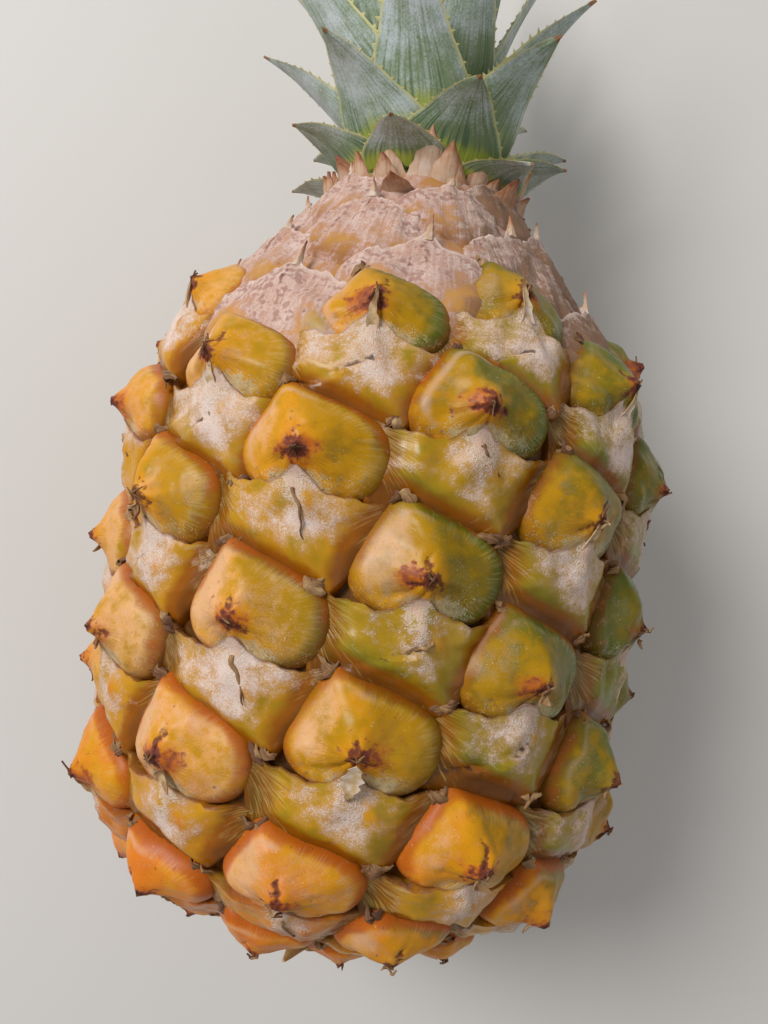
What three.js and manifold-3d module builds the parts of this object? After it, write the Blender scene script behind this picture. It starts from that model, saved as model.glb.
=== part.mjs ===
// A small picked pineapple with its crown, lying on its side. Millimetres, +Z up.
// It is worked out standing, with z along its axis from the base to the crown, and laid down at the end.
import * as THREE from "three";
import { mergeVertices } from "three/addons/utils/BufferGeometryUtils.js";
import Module from "manifold-3d";

// The fruit's outline through the tips of its eyes.
const BELLY_RADIUS = 43;
const BASE_TO_BELLY = 51;
const BELLY_TO_NECK = 68;
const NECK_RADIUS = 14.5;
const BASE_ROUNDNESS = 5;
const BASE_FULLNESS = 0.6;
const SHOULDER_STARTS = 15;
const SHOULDER_LATENESS = 1.6;

// The spiral that the eyes and the leaves follow. A rise of one radian is as long as the radius at that height.
const DIVERGENCE = THREE.MathUtils.degToRad(137.835);
const RISE_PER_EYE = 0.03513;
const ROWS = 13;
const FIRST_EYE_Z = 38.3;
const FIRST_EYE_ANGLE = THREE.MathUtils.degToRad(0.5);
const TURN = 2 * Math.PI;

// One eye: a dome of sepals with a beak, over a bract that clasps it from below, as shares of the radius.
const GROOVE_DEPTH = 0.14;
const DOME = { halfWidth: 0.2, halfHeight: 0.16, above: 0.048, rise: 0.095, squareness: 2.5, roundness: 0.45 };
const BEAK = { rise: 0.045, reach: 0.06 };
const BRACT = { top: 0.07, length: 0.25, halfWidth: 0.27, footWidth: 0.05, ridge: 0.085, foot: 0.02 };
const EYE_REACH = 0.4;
const NEIGHBOURS = 11;

// The rind's rows of eyes, the flesh inside them and the zone of flat bracts above them.
const ROWS_START_Z = 1;
const ROWS_END_Z = 98;
const SHOULDER_TOP_Z = 113;
const STEPS_PER_EYE = 5;
const STEPS_ACROSS = 6;
const INNER_COLUMNS = 3;
const RIND_BELOW_GROOVE = 1.6;
const CLEARANCE = 0.3;
const FLESH_SIDES = 26;
const FLESH_RINGS = 14;
const SCALE_BRACT = { above: 0.12, length: 0.42, halfWidth: 0.28, footLoss: 0.4, rise: 0.09 };
const SHOULDER_SIDES = 48;
const SHOULDER_RINGS = 9;
const NECK_TIPS = { count: 11, length: 8, halfWidth: 2.6, thickness: 0.9, lean: 0.55, sink: 4, radius: 15.3 };

// The cut stalk under the fruit, with the dried bracts round it.
const STALK = { radius: 8.5, waist: 7.6, length: 3.2, sides: 20 };
const STALK_BRACTS = { count: 5, length: 14, halfWidth: 2.6, thickness: 0.9, lift: 0.14, firstAngle: -0.3 };

// The crown: a short stem and its leaves, each on its own bowl inside the one before.
const STEM = { radius: 13.7, tip: 4, sides: 24, steps: 8 };
const LEAVES = 34;
const LEAF_STEP_Z = 0.42;
const LEAF_STEP_RADIUS = 0.34;
const FIRST_LEAF_Z = 0.8;
const FIRST_LEAF_ANGLE = THREE.MathUtils.degToRad(37.4);
const LEAF_LENGTH = { least: 9.7, gain: 67, longest: 29, power: 2.06, innerLoss: 0.25 };
const LEAF_LEAN = { outer: THREE.MathUtils.degToRad(88), fade: 21.5, most: THREE.MathUtils.degToRad(100) };
const LEAF_CURVE = { foot: 0.55, gain: 0.95, power: 1.2, steps: 60 };
const LEAF_WIDTH = { least: 7, most: 10, fullAt: 8, innerLoss: 0.45, footShare: 0.86, taper: 1.5 };
const LEAF_RINGS = { least: 4, most: 8 };
const LEAF_COLUMNS = 4;
const LEAF_MOST_WRAP = 0.72;
const LEAF_THICKNESS = { least: 0.75, share: 1 / 95, margin: 0.45, tipLoss: 0.35 };
const CROWN_LEAN = { left: 0.26, back: 0.066, from: 14 };

// How it lies, on the tips of three eyes: turned about its own axis, and its crown tipped up from level.
const ROLL = THREE.MathUtils.degToRad(0.35);
const PITCH = THREE.MathUtils.degToRad(1.99);

const COLOURS = {
  rind: 0xc98a22,
  flesh: 0xe3c25a,
  bract: 0xc7a284,
  leaf: 0x8fa58c,
  stem: 0xa9b27a,
  stalk: 0xa08a5c,
};

const wasm = await Module();
wasm.setup();

function smoothStep(x) {
  const t = THREE.MathUtils.clamp(x, 0, 1);
  return t * t * (3 - 2 * t);
}

// A number from 0 to 1 that is always the same for the same seed.
function chance(seed) {
  const x = Math.sin(seed * 12.9898) * 43758.5453;
  return x - Math.floor(x);
}

// The radius through the eye tips at height z.
function outline(z) {
  if (z < BASE_TO_BELLY) {
    const t = 1 - Math.max(z, 0) / BASE_TO_BELLY;
    return BELLY_RADIUS * (1 - t ** BASE_ROUNDNESS) ** BASE_FULLNESS;
  }
  const t = (z - BASE_TO_BELLY - SHOULDER_STARTS) / (BELLY_TO_NECK - SHOULDER_STARTS);
  const fall = smoothStep(Math.max(t, 0) ** SHOULDER_LATENESS);
  return NECK_RADIUS + (BELLY_RADIUS - NECK_RADIUS) * (1 - fall);
}

function outlineSlope(z) {
  const step = 0.05;
  return (outline(z + step) - outline(z - step)) / (2 * step);
}

// Height along the fruit counted in its own radii, so that eyes shrink with the radius.
// Below the belly the way is measured along the skin, and above it along the axis.
const GAUGE_STEP = 0.1;
const gauge = [0];
for (let z = GAUGE_STEP; z <= BASE_TO_BELLY + BELLY_TO_NECK + GAUGE_STEP; z += GAUGE_STEP) {
  const middle = z - GAUGE_STEP / 2;
  const skin = z < BASE_TO_BELLY ? Math.hypot(1, outlineSlope(middle)) : 1;
  gauge.push(gauge.at(-1) + (GAUGE_STEP * skin) / outline(middle));
}

function riseAt(z) {
  const place = THREE.MathUtils.clamp(z / GAUGE_STEP, 0, gauge.length - 1.001);
  const below = Math.floor(place);
  return THREE.MathUtils.lerp(gauge[below], gauge[below + 1], place - below);
}

function heightAt(rise) {
  let low = 0;
  let high = gauge.length - 1;
  while (high - low > 1) {
    const middle = (low + high) >> 1;
    if (gauge[middle] <= rise) low = middle;
    else high = middle;
  }
  return GAUGE_STEP * (low + (rise - gauge[low]) / (gauge[high] - gauge[low]));
}

const FIRST_EYE_RISE = riseAt(FIRST_EYE_Z);
const ROW_RISE = ROWS * RISE_PER_EYE;
const ROW_TURN = wrap(-ROWS * DIVERGENCE);

// An eye's place in the spiral: its angle round the fruit and its rise.
function eyeAt(number) {
  return {
    angle: FIRST_EYE_ANGLE - DIVERGENCE * number,
    rise: FIRST_EYE_RISE + RISE_PER_EYE * number,
  };
}

function wrap(angle) {
  return angle - TURN * Math.round(angle / TURN);
}

// A point at an angle and height, a depth below the outline and square to it. Angle 0 is the front, -Y.
function skinPoint(angle, z, depth) {
  const slope = outlineSlope(z);
  const tilt = Math.hypot(1, slope);
  return outward(angle)
    .multiplyScalar(outline(z) - depth / tilt)
    .setZ(z + (depth * slope) / tilt);
}

// A direction straight out from the axis.
function outward(angle) {
  return new THREE.Vector3(Math.sin(angle), -Math.cos(angle), 0);
}

// How far one eye stands out of the groove at a place beside its beak, across and up.
function eyeRise(across, up) {
  const squared = DOME.squareness;
  const share =
    Math.abs(across / DOME.halfWidth) ** squared +
    Math.abs((up - DOME.above) / DOME.halfHeight) ** squared;
  let rise = 0;
  if (share < 1) {
    const beak = BEAK.rise * Math.exp(-Math.hypot(across, up) / BEAK.reach);
    rise = DOME.rise * (1 - share) ** DOME.roundness + beak;
  }
  const down = (-up - BRACT.top) / BRACT.length;
  if (down > 0 && down < 1) {
    const half = BRACT.halfWidth * (1 - down) ** 0.8 + BRACT.footWidth;
    const side = Math.abs(across) / half;
    const ridge = BRACT.ridge * (1 - down) ** 1.2 + BRACT.foot;
    if (side < 1) rise = Math.max(rise, ridge * (1 - side ** 1.6));
  }
  return rise;
}

// A flat overlapping bract of the shoulder: a low wedge, highest at its top edge.
function scaleRise(across, up) {
  const { above, length, halfWidth, footLoss, rise } = SCALE_BRACT;
  const down = (above - up) / length;
  if (down < 0 || down > 1) return 0;
  const half = halfWidth * Math.min(1, 4 * down) * (1 - footLoss * down);
  const side = Math.abs(across) / Math.max(half, 0.01);
  return side < 1 ? rise * (1 - down) * (1 - side * side) : 0;
}

// The highest of all eyes that reach a place on the skin.
function skinRise(angle, rise, form) {
  const nearest = Math.round((rise - FIRST_EYE_RISE) / RISE_PER_EYE);
  let highest = 0;
  for (let number = nearest - NEIGHBOURS; number <= nearest + NEIGHBOURS; number++) {
    const eye = eyeAt(number);
    const across = wrap(angle - eye.angle);
    if (Math.abs(across) < EYE_REACH) highest = Math.max(highest, form(across, rise - eye.rise));
  }
  return Math.min(highest, GROOVE_DEPTH);
}

// The triangles that fill a ring of points, going the ring's own way round.
function fill(ring) {
  const normal = new THREE.Vector3();
  ring.forEach((point, i) => normal.add(point.clone().cross(ring[(i + 1) % ring.length])));
  const sizes = normal.toArray().map(Math.abs);
  const widest = sizes.indexOf(Math.max(...sizes));
  const [right, up] = [(widest + 1) % 3, (widest + 2) % 3];
  const flat = ring.map((point) => new THREE.Vector2(point.getComponent(right), point.getComponent(up)));
  const way = Math.sign(THREE.ShapeUtils.area(flat));
  return THREE.ShapeUtils.triangulateShape(flat, []).map((face) => {
    const same = THREE.ShapeUtils.area(face.map((i) => flat[i])) * way > 0;
    return same ? face : face.reverse();
  });
}

// A closed body through rings of points, or to a single point where it ends in a tip.
function loft(rings) {
  const points = rings.flat();
  const faces = [];
  let here = 0;
  for (let i = 0; i + 1 < rings.length; i++) {
    const count = rings[i].length;
    const next = here + count;
    for (let j = 0; j < count; j++) {
      const k = (j + 1) % count;
      if (rings[i + 1].length === 1) {
        faces.push(here + j, here + k, next);
      } else {
        faces.push(here + j, here + k, next + k, here + j, next + k, next + j);
      }
    }
    here = next;
  }
  for (const face of fill(rings[0])) faces.push(...face.reverse());
  if (rings.at(-1).length > 1) {
    for (const face of fill(rings.at(-1))) faces.push(...face.map((i) => here + i));
  }
  const geometry = new THREE.BufferGeometry().setFromPoints(points);
  geometry.setIndex(faces);
  return faceOutwards(geometry);
}

function faceOutwards(geometry) {
  if (solidOf(geometry).volume() < 0) {
    const index = geometry.index.array;
    for (let i = 0; i < index.length; i += 3) [index[i], index[i + 1]] = [index[i + 1], index[i]];
  }
  return geometry;
}

function solidOf(geometry) {
  const vertProperties = new Float32Array(geometry.attributes.position.array);
  const triVerts = new Uint32Array(geometry.index.array);
  return new wasm.Manifold(new wasm.Mesh({ numProp: 3, vertProperties, triVerts }));
}

function geometryOf(solid) {
  const mesh = solid.getMesh();
  const geometry = new THREE.BufferGeometry();
  geometry.setAttribute("position", new THREE.BufferAttribute(mesh.vertProperties, 3));
  geometry.setIndex(new THREE.BufferAttribute(mesh.triVerts, 1));
  return geometry;
}

// One row of eyes: a strip of rind from the base to the shoulder that follows every thirteenth eye.
function eyeRow(row) {
  const first = eyeAt(row);
  const low = riseAt(ROWS_START_Z);
  const high = riseAt(ROWS_END_Z);
  const step = ROW_RISE / STEPS_PER_EYE;
  const rises = [low];
  const from = Math.ceil((low - first.rise) / step + 0.4);
  for (let i = from; first.rise + i * step < high - 0.4 * step; i++) rises.push(first.rise + i * step);
  rises.push(high);
  const rings = rises.map((rise) => {
    const z = heightAt(rise);
    const radius = outline(z);
    const centre = first.angle + ((rise - first.rise) / ROW_RISE) * ROW_TURN;
    const half = Math.PI / ROWS - CLEARANCE / 2 / radius;
    const outer = [];
    for (let j = 0; j <= STEPS_ACROSS; j++) {
      const angle = centre + half * ((2 * j) / STEPS_ACROSS - 1);
      outer.push(skinPoint(angle, z, radius * (GROOVE_DEPTH - skinRise(angle, rise, eyeRise))));
    }
    const inner = [];
    for (let j = 0; j < INNER_COLUMNS; j++) {
      const angle = centre + half * (1 - (2 * j) / (INNER_COLUMNS - 1));
      inner.push(skinPoint(angle, z, radius * GROOVE_DEPTH + RIND_BELOW_GROOVE));
    }
    return [...outer, ...inner];
  });
  return loft(rings);
}

// The flesh's radius and height where the rind at height z is seated on it.
function fleshEdge(z) {
  const edge = skinPoint(0, z, outline(z) * GROOVE_DEPTH + RIND_BELOW_GROOVE + CLEARANCE * 1.5);
  return new THREE.Vector2(-edge.y * Math.cos(Math.PI / ROWS / (INNER_COLUMNS - 1)), edge.z);
}

// A turned body from its outline of radii and heights, which starts and ends on the axis.
function turned(profile, sides) {
  const geometry = new THREE.LatheGeometry(profile, sides);
  geometry.deleteAttribute("normal");
  geometry.deleteAttribute("uv");
  geometry.rotateX(Math.PI / 2);
  return faceOutwards(mergeVertices(geometry, 1e-4));
}

// The flesh inside the rows of eyes, with flat ends for the stalk and the shoulder.
function flesh() {
  const low = riseAt(ROWS_START_Z);
  const high = riseAt(ROWS_END_Z);
  const profile = [];
  for (let i = 0; i <= FLESH_RINGS; i++) {
    profile.push(fleshEdge(heightAt(THREE.MathUtils.lerp(low, high, i / FLESH_RINGS))));
  }
  const ends = [profile[0], profile.at(-1)].map(({ y }) => new THREE.Vector2(0, y));
  return turned([ends[0], ...profile, ends[1]], FLESH_SIDES);
}

// A small pointed blade: a strap that narrows to its tip, from a foot, out along a direction.
function blade(foot, along, side, length, halfWidth, thickness) {
  const face = new THREE.Vector3().crossVectors(side, along).normalize();
  const shares = [0, 0.45, 0.8];
  const rings = shares.map((share) => {
    const middle = foot.clone().addScaledVector(along, length * share);
    const half = halfWidth * (1 - share ** 1.5 * 0.9);
    return [[-1, -1], [1, -1], [1, 1], [-1, 1]].map(([x, y]) =>
      middle.clone().addScaledVector(side, x * half).addScaledVector(face, (y * thickness) / 2),
    );
  });
  rings.push([foot.clone().addScaledVector(along, length)]);
  return loft(rings);
}

// The shoulder's flat bracts, with the dried tips that stand round the neck.
function shoulder() {
  const low = riseAt(ROWS_END_Z);
  const high = riseAt(SHOULDER_TOP_Z);
  const lift = new THREE.Vector3(0, 0, 2 * CLEARANCE);
  const seat = fleshEdge(ROWS_END_Z);
  const angles = Array.from({ length: SHOULDER_SIDES }, (_, i) => (TURN * i) / SHOULDER_SIDES);
  const rings = [angles.map((angle) => outward(angle).multiplyScalar(seat.x).setZ(seat.y).add(lift))];
  for (let i = 0; i <= SHOULDER_RINGS; i++) {
    const share = i / SHOULDER_RINGS;
    const rise = THREE.MathUtils.lerp(low, high, share);
    const z = heightAt(rise);
    const ring = angles.map((angle) => {
      const depth = outline(z) * (GROOVE_DEPTH * (1 - share / 2) - skinRise(angle, rise, scaleRise));
      return skinPoint(angle, z, depth).addScaledVector(lift, 1 - share);
    });
    rings.push(ring);
  }
  rings.at(-1).forEach((point) => point.setZ(SHOULDER_TOP_Z));
  let solid = solidOf(loft(rings));
  for (let i = 0; i < NECK_TIPS.count; i++) {
    const angle = FIRST_EYE_ANGLE - DIVERGENCE * i;
    const side = outward(angle + Math.PI / 2);
    const along = outward(angle).multiplyScalar(NECK_TIPS.lean).setZ(1).normalize();
    const foot = outward(angle).multiplyScalar(NECK_TIPS.radius).setZ(SHOULDER_TOP_Z - NECK_TIPS.sink);
    const length = NECK_TIPS.length * (0.8 + 0.3 * chance(i));
    solid = solid.add(solidOf(blade(foot, along, side, length, NECK_TIPS.halfWidth, NECK_TIPS.thickness)));
  }
  return geometryOf(solid);
}

// The cut stalk, with the dried bracts that spread from it under the fruit.
function stalk() {
  const top = fleshEdge(ROWS_START_Z).y - CLEARANCE;
  const profile = [
    new THREE.Vector2(0, -STALK.length),
    new THREE.Vector2(STALK.radius, -STALK.length),
    new THREE.Vector2(STALK.waist, -STALK.length / 2),
    new THREE.Vector2(STALK.waist, top),
    new THREE.Vector2(0, top),
  ];
  let solid = solidOf(turned(profile, STALK.sides));
  for (let i = 0; i < STALK_BRACTS.count; i++) {
    const angle = STALK_BRACTS.firstAngle + (TURN * i) / STALK_BRACTS.count;
    const side = outward(angle + Math.PI / 2);
    const along = outward(angle).setZ(STALK_BRACTS.lift).normalize();
    const foot = outward(angle).multiplyScalar(STALK.waist - 2).setZ(-STALK.length / 2);
    const length = STALK_BRACTS.length * (0.7 + 0.4 * chance(i + 20));
    const { halfWidth, thickness } = STALK_BRACTS;
    solid = solid.add(solidOf(blade(foot, along, side, length, halfWidth, thickness)));
  }
  return geometryOf(solid);
}

const NECK_Z = SHOULDER_TOP_Z + CLEARANCE;

function stemRadius(leaf) {
  return STEM.radius - LEAF_STEP_RADIUS * leaf;
}

function leafFootZ(leaf) {
  return NECK_Z + FIRST_LEAF_Z + LEAF_STEP_Z * leaf;
}

// The crown leans a little to one side and back, more with its height.
function leanCrown(geometry) {
  const { left, back, from } = CROWN_LEAN;
  const place = geometry.attributes.position;
  for (let i = 0; i < place.count; i++) {
    const shift = Math.hypot(place.getZ(i) - NECK_Z, from) - from;
    place.setX(i, place.getX(i) - left * shift);
    place.setY(i, place.getY(i) + back * shift);
  }
  return geometry;
}

// The short stem in the middle of the crown.
function crownStem() {
  const profile = [new THREE.Vector2(0, NECK_Z), new THREE.Vector2(STEM.radius, NECK_Z)];
  for (let i = 0; i <= STEM.steps; i++) {
    const leaf = ((LEAVES - 1) * i) / STEM.steps;
    profile.push(new THREE.Vector2(stemRadius(leaf), leafFootZ(leaf)));
  }
  profile.push(new THREE.Vector2(0, leafFootZ(LEAVES) + STEM.tip));
  return leanCrown(turned(profile, STEM.sides));
}

// How far a leaf is past the longest ones towards the middle of the crown, from 0 to 1.
function youth(leaf) {
  return Math.max(leaf - LEAF_LENGTH.longest, 0) / (LEAVES - 1 - LEAF_LENGTH.longest);
}

function leafLength(leaf) {
  const { least, gain, longest, power, innerLoss } = LEAF_LENGTH;
  const grown = least + gain * (Math.min(leaf, longest) / longest) ** power;
  return grown * (1 - innerLoss * youth(leaf) ** 2);
}

// A leaf's angle from the axis at a share of its length. It stands up at its foot and spreads to its tip.
function leafAngle(leaf, share) {
  const mean = LEAF_LEAN.outer * Math.exp(-leaf / LEAF_LEAN.fade);
  const { foot, gain, power } = LEAF_CURVE;
  return Math.min(mean * (foot + gain * share ** power), LEAF_LEAN.most);
}

// The way of a leaf's midrib in its own plane: radius, height and angle at shares of its length.
function leafWay(leaf, shares) {
  const parts = LEAF_CURVE.steps;
  const step = leafLength(leaf) / parts;
  const way = [{ radius: stemRadius(leaf) + 2 * CLEARANCE, z: leafFootZ(leaf) }];
  for (let i = 1; i <= parts; i++) {
    const angle = leafAngle(leaf, (i - 0.5) / parts);
    const last = way.at(-1);
    way.push({ radius: last.radius + step * Math.sin(angle), z: last.z + step * Math.cos(angle) });
  }
  return shares.map((share) => ({ ...way[Math.round(share * parts)], angle: leafAngle(leaf, share) }));
}

// Half of a leaf's width at a share of its length.
function leafHalfWidth(leaf, share) {
  const { least, most, fullAt, innerLoss, footShare, taper } = LEAF_WIDTH;
  const full = least + (most - least) * smoothStep(leaf / fullAt);
  const swell = footShare + (1 - footShare) * Math.sin(Math.PI * Math.min(2 * share, 1));
  return full * (1 - innerLoss * youth(leaf)) * swell * (1 - share ** taper);
}

// One crown leaf: a blade that lies on its own bowl round the stem.
function crownLeaf(leaf) {
  const length = leafLength(leaf);
  const count = Math.round(
    THREE.MathUtils.lerp(LEAF_RINGS.least, LEAF_RINGS.most, smoothStep((length - 10) / 60)),
  );
  const shares = Array.from({ length: count }, (_, i) => i / count);
  const thickness = Math.max(LEAF_THICKNESS.least, length * LEAF_THICKNESS.share);
  const centre = FIRST_LEAF_ANGLE - DIVERGENCE * leaf;
  const rings = leafWay(leaf, shares).map(({ radius, z, angle }, i) => {
    const wrapHalf = Math.min(leafHalfWidth(leaf, shares[i]) / radius, LEAF_MOST_WRAP);
    const clear = radius / Math.cos(wrapHalf / (LEAF_COLUMNS - 1));
    const outer = [];
    const inner = [];
    for (let j = 0; j < LEAF_COLUMNS; j++) {
      const side = (2 * j) / (LEAF_COLUMNS - 1) - 1;
      const turn = centre + side * wrapHalf;
      const taper = 1 - LEAF_THICKNESS.tipLoss * shares[i];
      const height = (Math.abs(side) === 1 ? LEAF_THICKNESS.margin : thickness) * taper;
      outer.push(bowlPoint(turn, clear, z, angle, height));
      inner.unshift(bowlPoint(turn, clear, z, angle, 0));
    }
    return [...outer, ...inner];
  });
  const [tip] = leafWay(leaf, [1]);
  rings.push([bowlPoint(centre, tip.radius, tip.z, tip.angle, 0)]);
  return leanCrown(loft(rings));
}

// A point on a leaf's bowl, or a height out of it away from the axis.
function bowlPoint(turn, radius, z, angle, height) {
  return outward(turn)
    .multiplyScalar(radius + height * Math.cos(angle))
    .setZ(z - height * Math.sin(angle));
}

function named(name, geometry, colour, roughness) {
  geometry.computeVertexNormals();
  const material = new THREE.MeshStandardMaterial({ color: colour, roughness, metalness: 0 });
  const mesh = new THREE.Mesh(geometry, material);
  mesh.name = name;
  return mesh;
}

function twoDigits(number) {
  return String(number).padStart(2, "0");
}

const fruit = new THREE.Group();
fruit.add(named("fruit_flesh", flesh(), COLOURS.flesh, 0.6));
for (let row = 0; row < ROWS; row++) {
  fruit.add(named("eye_row_" + twoDigits(row + 1), eyeRow(row), COLOURS.rind, 0.45));
}
fruit.add(named("shoulder_bracts", shoulder(), COLOURS.bract, 0.85));
fruit.add(named("cut_stalk", stalk(), COLOURS.stalk, 0.85));
fruit.add(named("crown_stem", crownStem(), COLOURS.stem, 0.7));
for (let leaf = 0; leaf < LEAVES; leaf++) {
  fruit.add(named("crown_leaf_" + twoDigits(leaf + 1), crownLeaf(leaf), COLOURS.leaf, 0.6));
}

// Laid on its side: the crown to +Y and the front up, then the origin under the middle of its box.
const laid = new THREE.Group();
fruit.rotation.set(PITCH - Math.PI / 2, 0, ROLL, "XYZ");
laid.add(fruit);
laid.updateMatrixWorld(true);
const box = new THREE.Box3().setFromObject(laid, true);
fruit.position.set(-(box.min.x + box.max.x) / 2, -(box.min.y + box.max.y) / 2, -box.min.z);

export default laid;
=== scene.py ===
"""The looks of a pineapple fruit with its crown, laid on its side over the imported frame.

Every form is worked out standing, in millimetres, with the base at height 0 and the front at angle 0,
and is then laid down as the frame lies. A place beside an eye is given across and up from its beak,
both in shares of the fruit's radius there, and its height out of the groove in the same share.
"""

import logging
import math
from dataclasses import dataclass, field
from enum import Enum
from functools import cached_property

import bpy
import numpy as np
from bpy.types import ID, Material, Node, NodeSocket, Object
from mathutils import Matrix, Vector


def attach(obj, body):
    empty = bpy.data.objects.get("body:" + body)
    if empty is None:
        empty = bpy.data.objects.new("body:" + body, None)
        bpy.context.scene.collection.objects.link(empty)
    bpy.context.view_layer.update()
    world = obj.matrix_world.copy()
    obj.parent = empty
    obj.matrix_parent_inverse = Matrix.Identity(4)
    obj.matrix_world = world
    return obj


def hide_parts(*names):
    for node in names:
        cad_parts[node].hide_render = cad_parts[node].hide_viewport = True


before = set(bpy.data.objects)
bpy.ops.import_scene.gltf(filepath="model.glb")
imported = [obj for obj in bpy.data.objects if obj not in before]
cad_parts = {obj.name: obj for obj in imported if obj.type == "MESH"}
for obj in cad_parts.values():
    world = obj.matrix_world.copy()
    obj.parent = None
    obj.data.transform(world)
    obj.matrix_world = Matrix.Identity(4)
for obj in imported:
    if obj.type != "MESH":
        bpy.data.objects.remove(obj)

Array = np.ndarray
log = logging.getLogger("pineapple")
MM = 0.001
PICTURE = (768, 1024)
SHARP_ANGLE = math.radians(50)
STRAP_SIDES = np.array([-1, -0.4, 0.4, 1, 1, 0.4, -0.4, -1])
# The sections of bracts and scales stop just short of their ends, where they would shrink to a point.
LAST_SECTION = 0.985
# Undersides that no one sees lie this far under the floor of the groove, in shares of the radius.
HIDDEN_STAND = -0.05
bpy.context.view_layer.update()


def chance(seed: Array | float, salt: float) -> Array:
    """A number from 0 to 1 for each seed: what a very fast sine, moved by the salt, has past the point."""
    wave = np.sin(np.asarray(seed, float) * 12.9898 + salt * 78.233) * 43758.5453
    return wave - np.floor(wave)


def spread(seed: Array | float, salt: float, low: float, high: float) -> Array:
    """A number from low to high for each seed, by chance."""
    return low + (high - low) * chance(seed, salt)


def smooth(value: Array, low: float, high: float) -> Array:
    """0 below low and 1 above high, with an S-shaped way between, 3 t squared less 2 t cubed."""
    share = np.clip((np.asarray(value, float) - low) / (high - low), 0, 1)
    return share * share * (3 - 2 * share)


def hill(value: Array, middle: float, width: float) -> Array:
    """A bell of height 1 round a middle: e to the power of minus the distance over the width, squared."""
    return np.exp(-(((value - middle) / width) ** 2))


def uneven(across: Array, up: Array, seed: Array, size: float) -> Array:
    """Lumps of about one size, from -1 to 1: the mean of five sine waves that run in chance directions.

    Args:
        across: places across.
        up: places up.
        seed: changes the lumps, shaped to match the places.
        size: from one lump to the next, in the unit of the places.

    Returns:
        The lumps' height at each place.
    """
    total = np.zeros(np.broadcast(across, up, seed).shape)
    for wave in range(5):
        turn = spread(seed, wave + 0.31, 0, 2 * np.pi)
        speed = 2 * np.pi / size * spread(seed, wave + 0.57, 0.7, 1.4)
        total += np.sin(speed * (across * np.cos(turn) + up * np.sin(turn)) + 6.3 * chance(seed, wave + 0.83))
    return total / 5


def turns(count: int) -> Array:
    """Angles evenly round a circle."""
    return np.linspace(0, 2 * np.pi, count, endpoint=False)


def outward(angle: Array) -> Array:
    """The direction straight out from the axis at an angle, which is (sine, minus cosine, 0)."""
    return np.stack([np.sin(angle), -np.cos(angle), np.zeros_like(angle)], -1)


def unit(vectors: Array) -> Array:
    """The same directions with a length of 1."""
    return vectors / np.maximum(np.linalg.norm(vectors, axis=-1, keepdims=True), 1e-9)


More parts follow.
